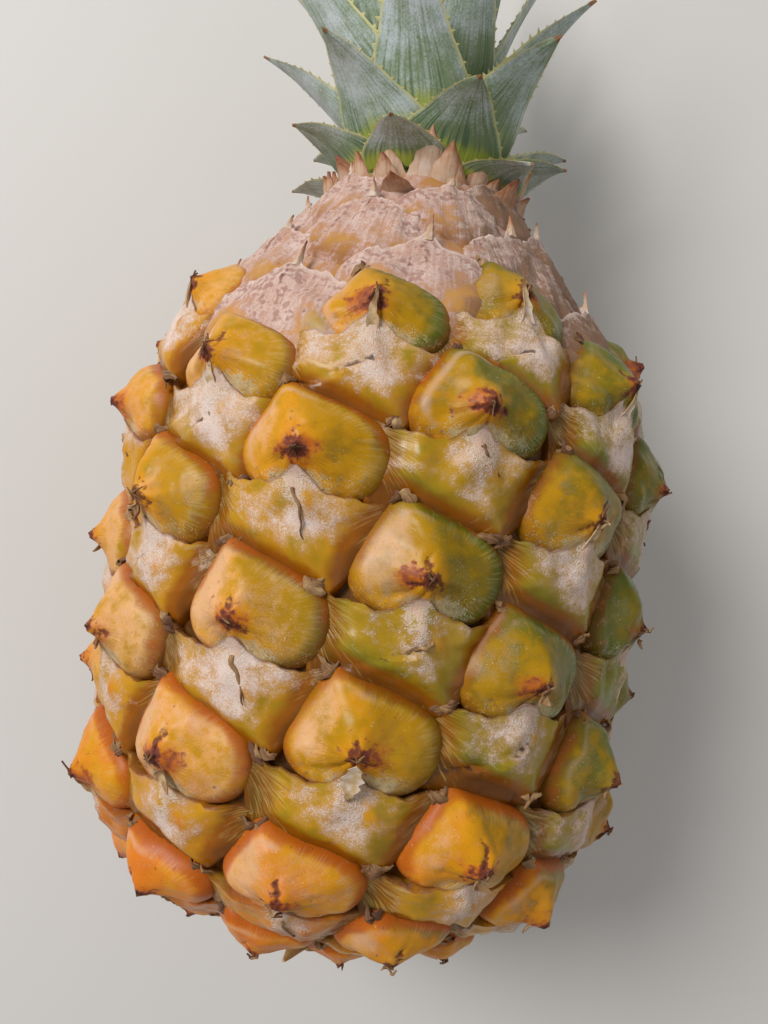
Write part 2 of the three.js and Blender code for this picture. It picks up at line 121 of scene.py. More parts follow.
@dataclass(frozen=True)
class FruitForm:
    """The turned body that carries the eyes, as the frame has it. Lengths are in millimetres."""

    belly_radius: float = 43.0
    base_to_belly: float = 51.0
    belly_to_neck: float = 68.0
    neck_radius: float = 14.5
    base_roundness: float = 5.0
    base_fullness: float = 0.6
    shoulder_starts: float = 15.0
    shoulder_lateness: float = 1.6
    groove: float = 0.14
    divergence: float = math.radians(137.835)
    rise_per_eye: float = 0.03513
    rows: int = 13
    first_eye_z: float = 38.3
    first_eye_angle: float = math.radians(0.5)
    rows_start_z: float = 1.0
    rows_end_z: float = 98.0
    shoulder_top_z: float = 113.0
    clearance: float = 0.3
    rind_below_groove: float = 1.6
    gauge_step: float = 0.1

    def outline(self, z: Array) -> Array:
        """The radius through the eye tips.

        Below the belly it is a rounded bowl, (1 - t^roundness)^fullness, and above it an S-shaped fall
        to the neck.

        Args:
            z: heights above the base.

        Returns:
            The radius at each height.
        """
        z = np.asarray(z, float)
        down = np.clip(1 - z / self.base_to_belly, 0, 1)
        bowl = self.belly_radius * (1 - down**self.base_roundness) ** self.base_fullness
        past = (z - self.base_to_belly - self.shoulder_starts) / (self.belly_to_neck - self.shoulder_starts)
        fall = smooth(np.maximum(past, 0) ** self.shoulder_lateness, 0, 1)
        top = self.neck_radius + (self.belly_radius - self.neck_radius) * (1 - fall)
        return np.where(z < self.base_to_belly, bowl, top)

    def slope(self, z: Array) -> Array:
        """How fast the outline widens with height."""
        step = 0.05
        return (self.outline(z + step) - self.outline(z - step)) / (2 * step)

    @cached_property
    def gauge(self) -> tuple[Array, Array]:
        """The rise, which is the way along the fruit counted in its own radii.

        Returns:
            Heights, and the rise at each.
        """
        top = self.base_to_belly + self.belly_to_neck
        z = np.arange(self.gauge_step, top + self.gauge_step, self.gauge_step)
        middle = z - self.gauge_step / 2
        skin = np.where(z < self.base_to_belly, np.hypot(1, self.slope(middle)), 1)
        rise = np.cumsum(self.gauge_step * skin / self.outline(middle))
        return np.concatenate([[0], z]), np.concatenate([[0], rise])

    def rise_at(self, z: Array | float) -> Array:
        """The rise at a height."""
        return np.interp(z, *self.gauge)

    def height_at(self, rise: Array | float) -> Array:
        """The height at a rise."""
        heights, rises = self.gauge
        return np.interp(rise, rises, heights)

    def skin(self, angle: Array, rise: Array, stand: Array) -> Array:
        """Points over the groove, square to the outline.

        Args:
            angle: angles round the axis.
            rise: rises along the fruit.
            stand: how far each point stands out of the groove, in shares of the radius.

        Returns:
            Standing points, with one more axis of length 3.
        """
        angle, rise, stand = np.broadcast_arrays(angle, rise, stand)
        z = self.height_at(rise)
        radius = self.outline(z)
        slope = self.slope(z)
        tilt = np.hypot(1, slope)
        depth = radius * (self.groove - stand)
        points = outward(angle) * (radius - depth / tilt)[..., None]
        points[..., 2] = z + depth * slope / tilt
        return points

    def eye_angle(self, number: Array) -> Array:
        """The angle of an eye's beak in the spiral."""
        return self.first_eye_angle - self.divergence * number

    def eye_rise(self, number: Array) -> Array:
        """The rise of an eye's beak in the spiral."""
        return self.rise_at(self.first_eye_z) + self.rise_per_eye * number

    def eye_height(self, number: Array) -> Array:
        """The height of an eye's beak in the spiral."""
        return self.height_at(self.eye_rise(number))

    def eyes_between(self, low_z: float, high_z: float) -> Array:
        """The numbers of the eyes whose beaks lie between two heights.

        Args:
            low_z: the lower height.
            high_z: the upper height.

        Returns:
            All of the numbers, in order.
        """
        first = self.rise_at(self.first_eye_z)
        low = math.ceil((self.rise_at(low_z) - first) / self.rise_per_eye)
        high = math.floor((self.rise_at(high_z) - first) / self.rise_per_eye)
        return np.arange(low, high + 1)


@dataclass(frozen=True)
class LaidPose:
    """How the standing fruit lies: rolled on its axis, pitched onto its side, and shifted, in millimetres."""

    shift: tuple[float, float, float] = (0.0, 0.0, 0.0)
    roll: float = math.radians(0.35)
    pitch: float = math.radians(1.99)

    def turn(self, vectors: Array) -> Array:
        """Standing directions as they lie: a turn of roll round Z, then of pitch less 90 degrees round X.

        Args:
            vectors: standing directions or points, with a last axis of length 3.

        Returns:
            The turned ones.
        """
        x, y, z = np.moveaxis(np.asarray(vectors, float), -1, 0)
        sine, cosine = math.sin(self.roll), math.cos(self.roll)
        x, y = x * cosine - y * sine, x * sine + y * cosine
        back = self.pitch - math.pi / 2
        sine, cosine = math.sin(back), math.cos(back)
        y, z = y * cosine - z * sine, y * sine + z * cosine
        return np.stack([x, y, z], -1)

    def place(self, points: Array) -> Array:
        """Standing points in millimetres as laid points in metres."""
        return (self.turn(points) + np.array(self.shift)) * MM

    @classmethod
    def of_frame(cls, form: FruitForm) -> "LaidPose":
        """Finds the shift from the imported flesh.

        The flesh is turned round the axis, so the middle of its width is on the axis, and its flat foot
        is at a height that the form gives.

        Args:
            form: the fruit's form.

        Returns:
            The pose with its shift.
        """
        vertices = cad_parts["fruit_flesh"].data.vertices
        points = np.zeros(len(vertices) * 3, np.float32)
        vertices.foreach_get("co", points)
        along = cls().turn(np.eye(3))
        places = points.reshape(-1, 3) / MM @ along.T
        low, high = places.min(0), places.max(0)
        z = form.rows_start_z
        depth = form.outline(z) * form.groove + form.rind_below_groove + 1.5 * form.clearance
        foot = z + depth * form.slope(z) / np.hypot(1, form.slope(z))
        middle = np.array([(low[0] + high[0]) / 2, (low[1] + high[1]) / 2, low[2] - foot])
        return cls(shift=tuple(middle @ along))


@dataclass
class Shell:
    """Closed surfaces that share a finish: points, faces and one number at each point for each mask."""

    points: Array
    quads: Array
    triangles: Array
    masks: dict[str, Array]
    grain: Array
    finish: int = 0


def flattened(values: Array) -> Array:
    """Values at ring points as one row of them for each surface, with the mean of each end ring at its end.

    Args:
        values: count x rings x points x any number.

    Returns:
        count x (1 + rings times points + 1) x that number.
    """
    ends = values[:, [0, -1]].mean(2)
    inner = values.reshape(len(values), -1, values.shape[-1])
    return np.concatenate([ends[:, :1], inner, ends[:, 1:]], 1)


def loft(rings: Array, masks: dict[str, Array | float], grain: Array | None = None, finish: int = 0) -> Shell:
    """Closed surfaces through rings of points, each end closed by a fan to the middle of its ring.

    Args:
        rings: count x rings x points x 3, standing.
        masks: numbers that can be spread over count x rings x points.
        grain: count x rings x points x 3, the pattern's own coordinates in millimetres.
        finish: which of the piece's finishes it takes.

    Returns:
        All surfaces in one shell, with their faces outwards.
    """
    count, rows, around, _ = rings.shape
    step = np.arange(around)
    following = (step + 1) % around
    start = 1 + around * np.arange(rows - 1)[:, None]
    quads = np.stack([start + step, start + following, start + around + following, start + around + step], -1)
    quads = quads.reshape(-1, 4)
    last = 1 + around * (rows - 1)
    pole = np.zeros_like(step)
    first_fan = np.stack([pole, following + 1, step + 1], -1)
    last_fan = np.stack([pole + last + around, last + step, last + following], -1)
    triangles = np.concatenate([first_fan, last_fan])
    points = flattened(rings)
    sample = points[0]
    halves = np.concatenate([quads[:, [0, 1, 2]], quads[:, [0, 2, 3]], triangles])
    corners = sample[halves] - sample.mean(0)
    if np.einsum("ij,ij->i", corners[:, 0], np.cross(corners[:, 1], corners[:, 2])).sum() < 0:
        quads, triangles = quads[:, ::-1], triangles[:, ::-1]
    offsets = (np.arange(count) * points.shape[1])[:, None, None]
    shape = (count, rows, around)
    spread_masks = {}
    for mask, values in masks.items():
        spread_masks[mask] = flattened(np.broadcast_to(values, shape)[..., None]).reshape(-1)
    pattern = np.zeros((*shape, 3)) if grain is None else np.broadcast_to(grain, (*shape, 3))
    return Shell(
        points.reshape(-1, 3),
        (quads + offsets).reshape(-1, 4),
        (triangles + offsets).reshape(-1, 3),
        spread_masks,
        flattened(pattern).reshape(-1, 3),
        finish,
    )


def strap(path: Array, side: Array, half_width: Array, thickness: float, curl: Array | float) -> Array:
    """Sections of thin straps along paths, as dry bract tips, fibres and scraps are.

    A point of a section is the path, plus its share across times the half width along the side, plus
    curl times the share squared times the half width out of the face, plus or minus half the thickness.

    Args:
        path: count x steps x 3, the middle of each strap.
        side: count x steps x 3, the direction of the width.
        half_width: count x steps.
        thickness: of the strap.
        curl: how far the edges turn up, in half widths.

    Returns:
        count x steps x 8 x 3 points, for loft.
    """
    along = unit(np.gradient(path, axis=1))
    face = unit(np.cross(side, along))
    height = np.array([0.35, 1, 1, 0.35, -0.35, -1, -1, -0.35]) * thickness / 2
    width = half_width[..., None]
    out = np.asarray(curl)[..., None] * STRAP_SIDES**2 * width + height
    beside = (STRAP_SIDES * width)[..., None] * side[:, :, None]
    return path[:, :, None] + beside + out[..., None] * face[:, :, None]


def strap_grain(half_width: Array, owner: Array, along: Array) -> Array:
    """The grain of straps, whose fibres run lengthwise.

    Args:
        half_width: count x steps.
        owner: a number for each strap, so that no two look alike, count x 1 x 1.
        along: the way along each strap, shrunk, so that the pattern stretches, with a last axis of 1.

    Returns:
        count x steps x 8 x 3 coordinates: across the strap, its number, and along it.
    """
    width = half_width[..., None] * STRAP_SIDES
    return np.stack(np.broadcast_arrays(width, owner, along), -1)


def colour(code: str) -> tuple[float, float, float, float]:
    """An sRGB hex value as linear red, green, blue and a full alpha.

    Args:
        code: six hex digits.

    Returns:
        The colour for a node.
    """
    parts = [int(code[i : i + 2], 16) / 255 for i in (0, 2, 4)]
    linear = [part / 12.92 if part <= 0.04045 else ((part + 0.055) / 1.055) ** 2.4 for part in parts]
    return (*linear, 1.0)


def put(name: str, data: ID) -> Object:
    """Makes an object of a mesh, a light or a camera, and puts it in the scene.

    Args:
        name: of the object.
        data: what it shows.

    Returns:
        The object.
    """
    made = bpy.data.objects.new(name, data)
    bpy.context.scene.collection.objects.link(made)
    return made


class Paint:
    """A material under construction, node by node."""

    def __init__(self, name: str) -> None:
        """Starts an empty material.

        Args:
            name: of the material.
        """
        self.material = bpy.data.materials.new(name)
        self.material.use_nodes = True
        self.tree = self.material.node_tree
        self.tree.nodes.clear()

    def add(self, kind: str, inputs: dict | None = None, **settings: object) -> Node:
        """Adds a node.

        Args:
            kind: the node's type, without its ShaderNode beginning.
            inputs: values for its sockets, or sockets of other nodes to link to them.
            settings: properties of the node.

        Returns:
            The node.
        """
        node = self.tree.nodes.new("ShaderNode" + kind)
        for name, value in settings.items():
            setattr(node, name, value)
        for name, value in (inputs or {}).items():
            if isinstance(value, NodeSocket):
                self.tree.links.new(value, node.inputs[name])
            else:
                node.inputs[name].default_value = value
        return node

    def finish(self, surface: NodeSocket) -> Material:
        """Links the shader to the output and returns the material."""
        self.add("OutputMaterial", {"Surface": surface})
        return self.material


@dataclass(frozen=True)
class Layer:
    """One tone over those below it.

    It covers where its mask, plus or minus some noise, passes from low to high, and nowhere more than
    most. Each noise is given by how much it adds at its strongest. Relief is in millimetres.
    """

    tone: str
    mask: str
    low: float
    high: float
    most: float = 1.0
    mottle: float = 0.0
    blotch: float = 0.0
    torn: float = 0.0
    grit: float = 0.0
    fibres: float = 0.0
    rough: float = 0.4
    relief: float = 0.0


@dataclass(frozen=True)
class GrownSurface:
    """A surface of plant tissue: a first tone, layers over it, and the sizes of its unevenness.

    Mottle, blotch, torn and grit are cloudy noises on the piece's own place, from coarse to fine. The
    fibres are noise on the grain, which the mesh holds, so that they run along it. Grit stands for the
    finest scales and dust, and it and the fibres are drawn coarser than life so that they show.
    """

    name: str
    tone: str
    layers: tuple[Layer, ...]
    roughness: float = 0.4
    translucence: float = 0.0
    mottle_mm: float = 5.0
    blotch_mm: float = 1.7
    torn_mm: float = 0.8
    grit_mm: float = 0.2
    fibre_mm: float = 0.3
    ior: float = 1.42

    def build(self) -> Material:
        """Builds the material.

        Returns:
            A material that reads the masks that its layers name, and the grain.
        """
        paint = Paint(self.name)
        place = paint.add("TexCoord").outputs["Object"]
        grain = paint.add("Attribute", attribute_name="grain").outputs["Vector"]
        noises = {}
        for name, vector, size, detail in (
            ("mottle", place, self.mottle_mm * MM, 3.0),
            ("blotch", place, self.blotch_mm * MM, 4.0),
            ("torn", place, self.torn_mm * MM, 4.0),
            ("grit", place, self.grit_mm * MM, 1.0),
            ("fibres", grain, self.fibre_mm, 2.0),
        ):
            noise = paint.add("TexNoise", {"Vector": vector, "Scale": 1 / size, "Detail": detail})
            noises[name] = noise.outputs["Fac"]
        body, rough, relief = colour(self.tone), self.roughness, 0
        for layer in self.layers:
            amount = paint.add("Attribute", attribute_name=layer.mask).outputs["Fac"]
            middle = 0
            for name, noise in noises.items():
                weight = getattr(layer, name)
                if weight:
                    added = {0: noise, 1: weight, 2: amount}
                    amount = paint.add("Math", added, operation="MULTIPLY_ADD").outputs[0]
                    middle += 0.5 * weight
            limits = {"From Min": layer.low + middle, "From Max": layer.high + middle, "To Max": layer.most}
            passed = {"Value": amount, **limits}
            cover = paint.add("MapRange", passed, interpolation_type="SMOOTHSTEP").outputs[0]
            tones = {"Fac": cover, "Color1": body, "Color2": colour(layer.tone)}
            body = paint.add("MixRGB", tones).outputs[0]
            rough = paint.add("MapRange", {"Value": cover, "To Min": rough, "To Max": layer.rough}).outputs[0]
            if layer.relief:
                step = {0: cover, 1: layer.relief, 2: relief}
                relief = paint.add("Math", step, operation="MULTIPLY_ADD").outputs[0]
        bump = paint.add("Bump", {"Height": relief, "Strength": 1, "Distance": MM})
        skin = {"Base Color": body, "Roughness": rough, "IOR": self.ior, "Normal": bump.outputs[0]}
        soft = {"Subsurface Weight": self.translucence, "Subsurface Scale": MM}
        soft["Subsurface Radius"] = (1, 0.5, 0.15)
        return paint.finish(paint.add("BsdfPrincipled", skin | soft).outputs[0])


class Finish(Enum):
    """The finishes that the pieces choose from."""

    # Ripe sepal skin: living waxy tissue, swollen as it grew. It gives the eye a soft gloss over a
    # translucent gold body, olive that is partly its own colour and partly painted shade on the far side
    # of the keel, a milky layer with a painted sheen on the lit upper left facet, a painted sheen on the
    # upper left rim, painted shade towards the rim, brown and on the ripe eyes deep orange as a painted
    # glow, fine fibres across the rim, wrinkles below the beak, pale dust, brown and pale specks, and a
    # torn purple scar with an orange blush.
    EYE = GrownSurface(
        "waxy_sepal_skin", "ac820a", roughness=0.34, translucence=0.12, ior=1.3,
        layers=(
            Layer("d6920e", "ripe", 0.05, 0.65, mottle=1, blotch=0.8, rough=0.38),
            Layer("dc7a20", "ripe", 0.5, 1.2, mottle=1.1, blotch=0.8, rough=0.38),
            # Olive: the eye's own colour, and painted shade on the far side of the keel.
            Layer("7a680a", "olive", 0.1, 0.9, 0.9, mottle=1.2, blotch=1.1, rough=0.36),
            # Painted sheen on the lit upper left facet, over a milky layer.
            Layer("e4b48a", "film", 0.15, 1, 0.75, mottle=1, blotch=1, torn=0.6, grit=0.5, rough=0.45),
            Layer("4c6016", "green", 0.2, 1, 0.9, mottle=0.9, blotch=0.7, rough=0.25),
            # Painted shade towards the rim.
            Layer("74400c", "rim", 0.2, 1.1, 0.8, mottle=0.6, blotch=0.6, rough=0.38),
            # Painted glow: the rim's painted shade in deep orange on the ripe eyes.
            Layer("bc5a10", "glow", 0.1, 0.85, 0.8, mottle=0.8, blotch=0.8, rough=0.4),
            # Painted sheen on the upper left rim.
            Layer("d2a88c", "lilac", 0.15, 1, 0.6, mottle=0.8, blotch=0.6, rough=0.45),
            Layer("d8c08a", "fan", 0.5, 1.4, 0.2, blotch=1, fibres=2.6, rough=0.3, relief=0.015),
            Layer("c4ba96", "powder", 0.45, 1.1, 0.7, blotch=1.8, torn=1, grit=1.6, rough=0.6, relief=0.02),
            Layer("8a5c14", "wrinkle", 0.4, 1, 0.35, blotch=0.8, fibres=2.4, rough=0.45, relief=-0.04),
            Layer("7c4e12", "speck", 0.44, 0.85, 0.65, torn=1.6, grit=1.2, rough=0.5, relief=-0.02),
            Layer("e2cba4", "speck", 0.48, 0.9, 0.55, torn=-1.3, grit=1.8, rough=0.6, relief=0.02),
            Layer("b8581e", "blush", 0.3, 0.8, 0.75, blotch=0.9, torn=0.8, rough=0.35),
            Layer("83402a", "blush", 0.55, 1.05, 0.7, blotch=1, torn=2.4, rough=0.5, relief=-0.03),
            Layer("6c3226", "scar", 0.36, 0.72, 0.85, blotch=0.8, torn=1.8, rough=0.6, relief=-0.05),
            Layer("341814", "scar", 0.75, 1.1, 0.8, blotch=0.6, torn=1.8, rough=0.8, relief=-0.06),
        ),
    )
    # Living bract skin with its bloom: fleshy, folded at the wings as it was pressed between the eyes.
    # It gives the eye glossy olive and gold in the folds and at the lobes, painted shade in orange brown in
    # the hollows beside each dome and towards the fruit's right, darkest in the deepest creases, and over the
    # rest a stipple of pinkish white scales that grow dense as wool under the star.
    BRACT = GrownSurface(
        "bloomed_bract_skin", "907c10", roughness=0.3, translucence=0.1, ior=1.38,
        layers=(
            Layer("c88e18", "ripe", 0.05, 0.65, mottle=1, blotch=0.6, rough=0.28),
            Layer("cc7426", "ripe", 0.6, 1.25, 0.9, mottle=1, blotch=0.8, rough=0.3),
            Layer("5c781c", "green", 0.2, 0.9, 0.85, mottle=1, blotch=0.7, rough=0.24),
            # Painted shade in orange brown in the hollows beside the domes, darkest in the deepest creases.
            Layer("904c04", "valley", 0.05, 0.85, 0.92, mottle=0.6, blotch=0.6, rough=0.24),
            Layer("4c2c08", "valley", 0.85, 1.3, 0.55, mottle=0.5, rough=0.4),
            Layer(
                "cabf74", "fan", 0.5, 1.1, 0.3,
                mottle=0.8, blotch=0.5, fibres=2.6, rough=0.26, relief=0.03,
            ),
            Layer("50540e", "fan", 0.6, 1.1, 0.35, mottle=0.8, fibres=-2.6, rough=0.26, relief=-0.03),
            Layer("c29a78", "bloom", 0.1, 0.9, 0.7, mottle=1.7, blotch=1.4, torn=0.6, rough=0.5),
            Layer(
                "dec9be", "bloom", 0.3, 1.4, 0.95,
                mottle=2, blotch=1.5, torn=0.9, grit=1.5, rough=0.7, relief=0.03,
            ),
            Layer("dccab6", "wool", 0, 1, 0.85, blotch=1.6, torn=2, grit=1.8, rough=0.9, relief=0.07),
            Layer("b4705c", "wool", 0.5, 1.2, 0.4, blotch=2, torn=1.8, grit=1, rough=0.8),
            Layer("7c4630", "edge", 0.4, 0.9, 0.5, mottle=0.6, blotch=1.6, torn=1.6, rough=0.6),
            Layer("4a2c1c", "fold", 0.35, 0.75, 0.85, blotch=0.8, torn=0.9, rough=0.6, relief=-0.06),
        ),
    )
    # Shoulder bract skin: the same tissue, half dried. It gives the eye dull pink and orange with a
    # dense stipple of scales, rubbed off where the bracts bulge, painted shade in brown on their lower parts
    # and where they meet, and painted shade towards the fruit's right.
    SHOULDER = GrownSurface(
        "dusty_shoulder_skin", "b8843e", roughness=0.42, translucence=0.06,
        layers=(
            Layer("c88a3c", "ripe", 0.2, 0.8, mottle=1, blotch=0.8, rough=0.42),
            Layer("8a8438", "green", 0.3, 0.9, 0.8, mottle=1, blotch=0.6, rough=0.35),
            # Painted shade on the scales' lower parts and where they meet.
            Layer("8a5228", "valley", 0.1, 1, 0.85, mottle=0.6, blotch=0.8, rough=0.5),
            Layer("b4897a", "bloom", 0, 0.7, 0.9, mottle=1.4, blotch=1.4, torn=0.7, rough=0.65, relief=0.03),
            Layer("7e604e", "shade", 0.1, 0.9, 0.85, mottle=0.9, blotch=0.8, rough=0.7),
            Layer(
                "dcc6ba", "bloom", 0.2, 1.4, 0.85,
                mottle=1.8, blotch=1.6, torn=1.1, grit=0.8, fibres=1.2, rough=0.8, relief=0.04,
            ),
            Layer("8a4c38", "bloom", 0.8, 1.4, 0.65, mottle=1, blotch=2.2, torn=3, rough=0.7, relief=-0.04),
            Layer("dcc4b6", "edge", 0.3, 1, 0.55, mottle=0.6, blotch=1.2, torn=1.4, rough=0.8),
            Layer("6e3a2c", "fold", 0.35, 0.8, 0.8, blotch=0.9, torn=1.2, rough=0.7, relief=-0.05),
        ),
    )
    # Dried bract tips and flower parts: dead tissue that shrank in the sun. It gives the eye matt tan
    # paper with darker veins along it and dark burnt places.
    DRY = GrownSurface(
        "dry_bract_paper", "96724a", roughness=0.75, blotch_mm=1.1, fibre_mm=0.22,
        layers=(
            Layer("ccae80", "tone", 0, -0.5, 0.85, blotch=1.2, torn=0.8, rough=0.8),
            Layer("e0cec2", "tone", -0.4, -0.9, 0.85, blotch=1, torn=1.2, rough=0.85),
            Layer("6c452b", "tone", -0.1, 0.6, 0.95, blotch=1, fibres=1.2, rough=0.7),
            Layer("35201a", "tone", 0.5, 1.1, 0.9, blotch=1, torn=0.6, rough=0.7),
            Layer("5c3c28", "tone", 0.1, 1, 0.6, fibres=3, rough=0.7, relief=-0.05),
        ),
    )
    # Neck bracts, dried to thin hard scales: the same paper, pinker and coarser, brown at the tips.
    NECK = GrownSurface(
        "dry_neck_bract", "c2a184", roughness=0.7, fibre_mm=0.4, translucence=0.05,
        layers=(
            Layer("d4c0b2", "tone", 0.1, -0.5, 0.85, mottle=0.8, blotch=1.2, torn=1, rough=0.8),
            Layer("a9744e", "tone", 0.1, 0.7, 0.9, mottle=0.8, blotch=1.2, torn=0.8, rough=0.65),
            Layer("6c3222", "tone", 0.6, 1.1, 0.9, blotch=0.8, torn=0.6, rough=0.65),
            Layer("96583a", "tone", 0, 1.2, 0.6, fibres=3.2, rough=0.65, relief=-0.06),
        ),
    )
    # Crown leaf: tough fibrous blade with grey scurf. It gives the eye a matt silver green with dark
    # furrows along it half a millimetre apart, coarser than life, a yellow green foot and margin, pale
    # teeth and a brown tip.
    BLADE = GrownSurface(
        "scurfy_crown_blade", "7f9068", roughness=0.5,
        mottle_mm=7, blotch_mm=2.4, grit_mm=0.3, fibre_mm=0.42,
        layers=(
            Layer("d2dae0", "scurf", 0, 0.95, 0.95, mottle=1.2, blotch=0.8, grit=0.6, fibres=0.8, rough=0.6),
            Layer("4e6652", "scurf", 0.25, -0.8, 0.85, mottle=0.6, fibres=3, rough=0.5, relief=-0.07),
            Layer("b2ba44", "foot", 0.1, 0.8, 0.9, mottle=0.9, fibres=1, rough=0.45),
            Layer("d8cf8c", "margin", 0.3, 0.9, 0.85, blotch=0.5, rough=0.5),
            Layer("8a5a34", "burnt", 0.3, 0.9, 0.95, blotch=0.8, rough=0.6),
        ),
    )
    # The groove's floor: the same skin as the bracts, smooth and dark brown.
    GROOVE = GrownSurface(
        "groove_tissue", "7c4e0c", roughness=0.5,
        layers=(Layer("4c2a08", "ripe", 0.2, 1, mottle=0.8, blotch=1.2, rough=0.5, relief=0.1),),
    )
    # The crown's stem: pale soft tissue under the leaves' feet.
    STEM = GrownSurface(
        "pale_stem_tissue", "a9ad62", roughness=0.6, mottle_mm=2.5,
        layers=(Layer("7c8840", "ripe", -0.3, 0.3, 0.9, mottle=1.4, blotch=0.8, rough=0.6, relief=0.1),),
    )
    # The cut stalk: woody fibres, cut across and dried. It gives the eye matt tan with dark fibres.
    STALK = GrownSurface(
        "dry_cut_stalk", "b8945f", roughness=0.75, fibre_mm=0.4,
        layers=(
            Layer("8e6a3a", "tone", -0.2, 0.6, 0.9, mottle=0.8, blotch=1, rough=0.75),
            Layer("4c3218", "tone", 0.2, 1.1, 0.8, blotch=0.8, fibres=2.6, rough=0.8, relief=-0.1),
        ),
    )

    @cached_property
    def material(self) -> Material:
        """The finish's material, built once."""
        return self.value.build()


def make_piece(name: str, shells: list[Shell], finishes: list[Finish], slot: str, *nodes: str) -> Object:
    """Joins shells into one piece that rides on the fruit and stands for its CAD nodes.

    Args:
        name: of the piece.
        shells: already laid, in metres.
        finishes: in the order that the shells number them.
        slot: a material slot's name; not used.
        nodes: CAD nodes that it stands for.

    Returns:
        The piece.
    """
    starts = np.cumsum([0] + [len(shell.points) for shell in shells])
    points = np.concatenate([shell.points for shell in shells])
    faces = [(shell.quads + start, shell.finish) for shell, start in zip(shells, starts)]
    faces += [(shell.triangles + start, shell.finish) for shell, start in zip(shells, starts)]
    sizes = np.concatenate([np.full(len(corners), corners.shape[1]) for corners, _ in faces])
    loops = np.concatenate([corners.ravel() for corners, _ in faces])
    chosen = np.concatenate([np.full(len(corners), finish) for corners, finish in faces])
    mesh = bpy.data.meshes.new(name)
    mesh.vertices.add(len(points))
    mesh.vertices.foreach_set("co", points.astype(np.float32).ravel())
    mesh.loops.add(len(loops))
    mesh.loops.foreach_set("vertex_index", loops.astype(np.int32))
    mesh.polygons.add(len(sizes))
    mesh.polygons.foreach_set("loop_start", (np.cumsum(sizes) - sizes).astype(np.int32))
    mesh.polygons.foreach_set("material_index", chosen.astype(np.int32))
    mesh.polygons.foreach_set("use_smooth", np.ones(len(sizes), bool))
    mesh.update(calc_edges=True)
    mesh.validate()
    for mask in sorted({mask for shell in shells for mask in shell.masks}):
        values = [shell.masks.get(mask, np.zeros(len(shell.points))) for shell in shells]
        attribute = mesh.attributes.new(mask, "FLOAT", "POINT")
        attribute.data.foreach_set("value", np.concatenate(values).astype(np.float32))
    grain = mesh.attributes.new("grain", "FLOAT_VECTOR", "POINT")
    vectors = np.concatenate([shell.grain for shell in shells])
    grain.data.foreach_set("vector", vectors.astype(np.float32).ravel())
    mesh.set_sharp_from_angle(angle=SHARP_ANGLE)
    piece = put(name, mesh)
    for finish in finishes:
        mesh.materials.append(finish.material)
    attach(piece, "root")
    if nodes:
        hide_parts(*nodes)
    log.info("%s: %d points, %d faces, for %s", name, len(points), len(sizes), ", ".join(nodes) or "no node")
    return piece


@dataclass(frozen=True)
class ShoulderScale:
    """One low, wide bract of the shoulder, in shares of the radius there, measured from its eye's place."""

    half_width: float = 0.4
    above: float = -0.12
    length: float = 0.42
    rise: float = 0.044
    point: float = 0.05
    edge_thickness: float = 0.016


@dataclass(frozen=True)
class DomeForm:
    """The dome over one eye: a six-sided pillow with round corners that rises to a beak below its middle.

    Each side is given by the degrees that it faces and its distance from the middle.
    """

    centre: tuple[float, float] = (0.01, 0.03)
    sides: tuple[tuple[float, float], ...] = (
        (148, 0.2), (73, 0.147), (14, 0.252), (-48, 0.238), (-92, 0.17), (222, 0.236),
    )
    sharpness: float = 6.0
    vertex: float = math.radians(121)
    vertex_reach: float = 0.07
    rise: float = 0.088
    fullness: float = 2.6
    roundness: float = 0.42
    beak_rise: float = 0.072
    beak_reach: float = 0.056
    beak_above: float = 0.62
    beak_below: float = 1.9

    def rim_share(self, across: Array, up: Array) -> Array:
        """How near a place is to the rim, 0 in the middle and 1 on it.

        It is the root of the sum of powers of the distances towards the sides, each over its own, and
        it is less towards the top vertex.

        Args:
            across: places across from the beak.
            up: places up from the beak.

        Returns:
            The share at each place.
        """
        x, y = across - self.centre[0], up - self.centre[1]
        total = np.zeros(np.broadcast(x, y).shape)
        for degrees, distance in self.sides:
            toward = x * math.cos(math.radians(degrees)) + y * math.sin(math.radians(degrees))
            total += np.maximum(toward / distance, 0) ** self.sharpness
        beside = np.arctan2(y, x) - self.vertex
        return total ** (1 / self.sharpness) * (1 - self.vertex_reach * hill(np.abs(beside), 0, 0.22))

    def rim(self, turn: Array) -> tuple[Array, Array]:
        """The rim round the dome's middle: a unit step over its own share of the way to the rim.

        Args:
            turn: angles round the middle, from the right towards the top.

        Returns:
            Places across and up from the beak.
        """
        x, y = np.cos(turn), np.sin(turn)
        far = self.rim_share(x + self.centre[0], y + self.centre[1])
        return self.centre[0] + x / far, self.centre[1] + y / far

    def height(self, across: Array, up: Array) -> Array:
        """The dome's height: rise (1 - share^fullness)^roundness, plus the beak's fall with distance.

        Args:
            across: places across from the beak.
            up: places up from the beak.

        Returns:
            Heights out of the groove.
        """
        share = self.rim_share(across, up)
        pillow = self.rise * (1 - np.clip(share, 0, 1) ** self.fullness) ** self.roundness
        steep = np.where(up < 0, self.beak_below, self.beak_above)
        far = np.hypot(across, steep * up)
        beak = self.beak_rise * np.exp(-far / self.beak_reach) * (1 - smooth(share, 0.75, 1))
        return pillow + beak - 0.3 * np.maximum(share - 1, 0)


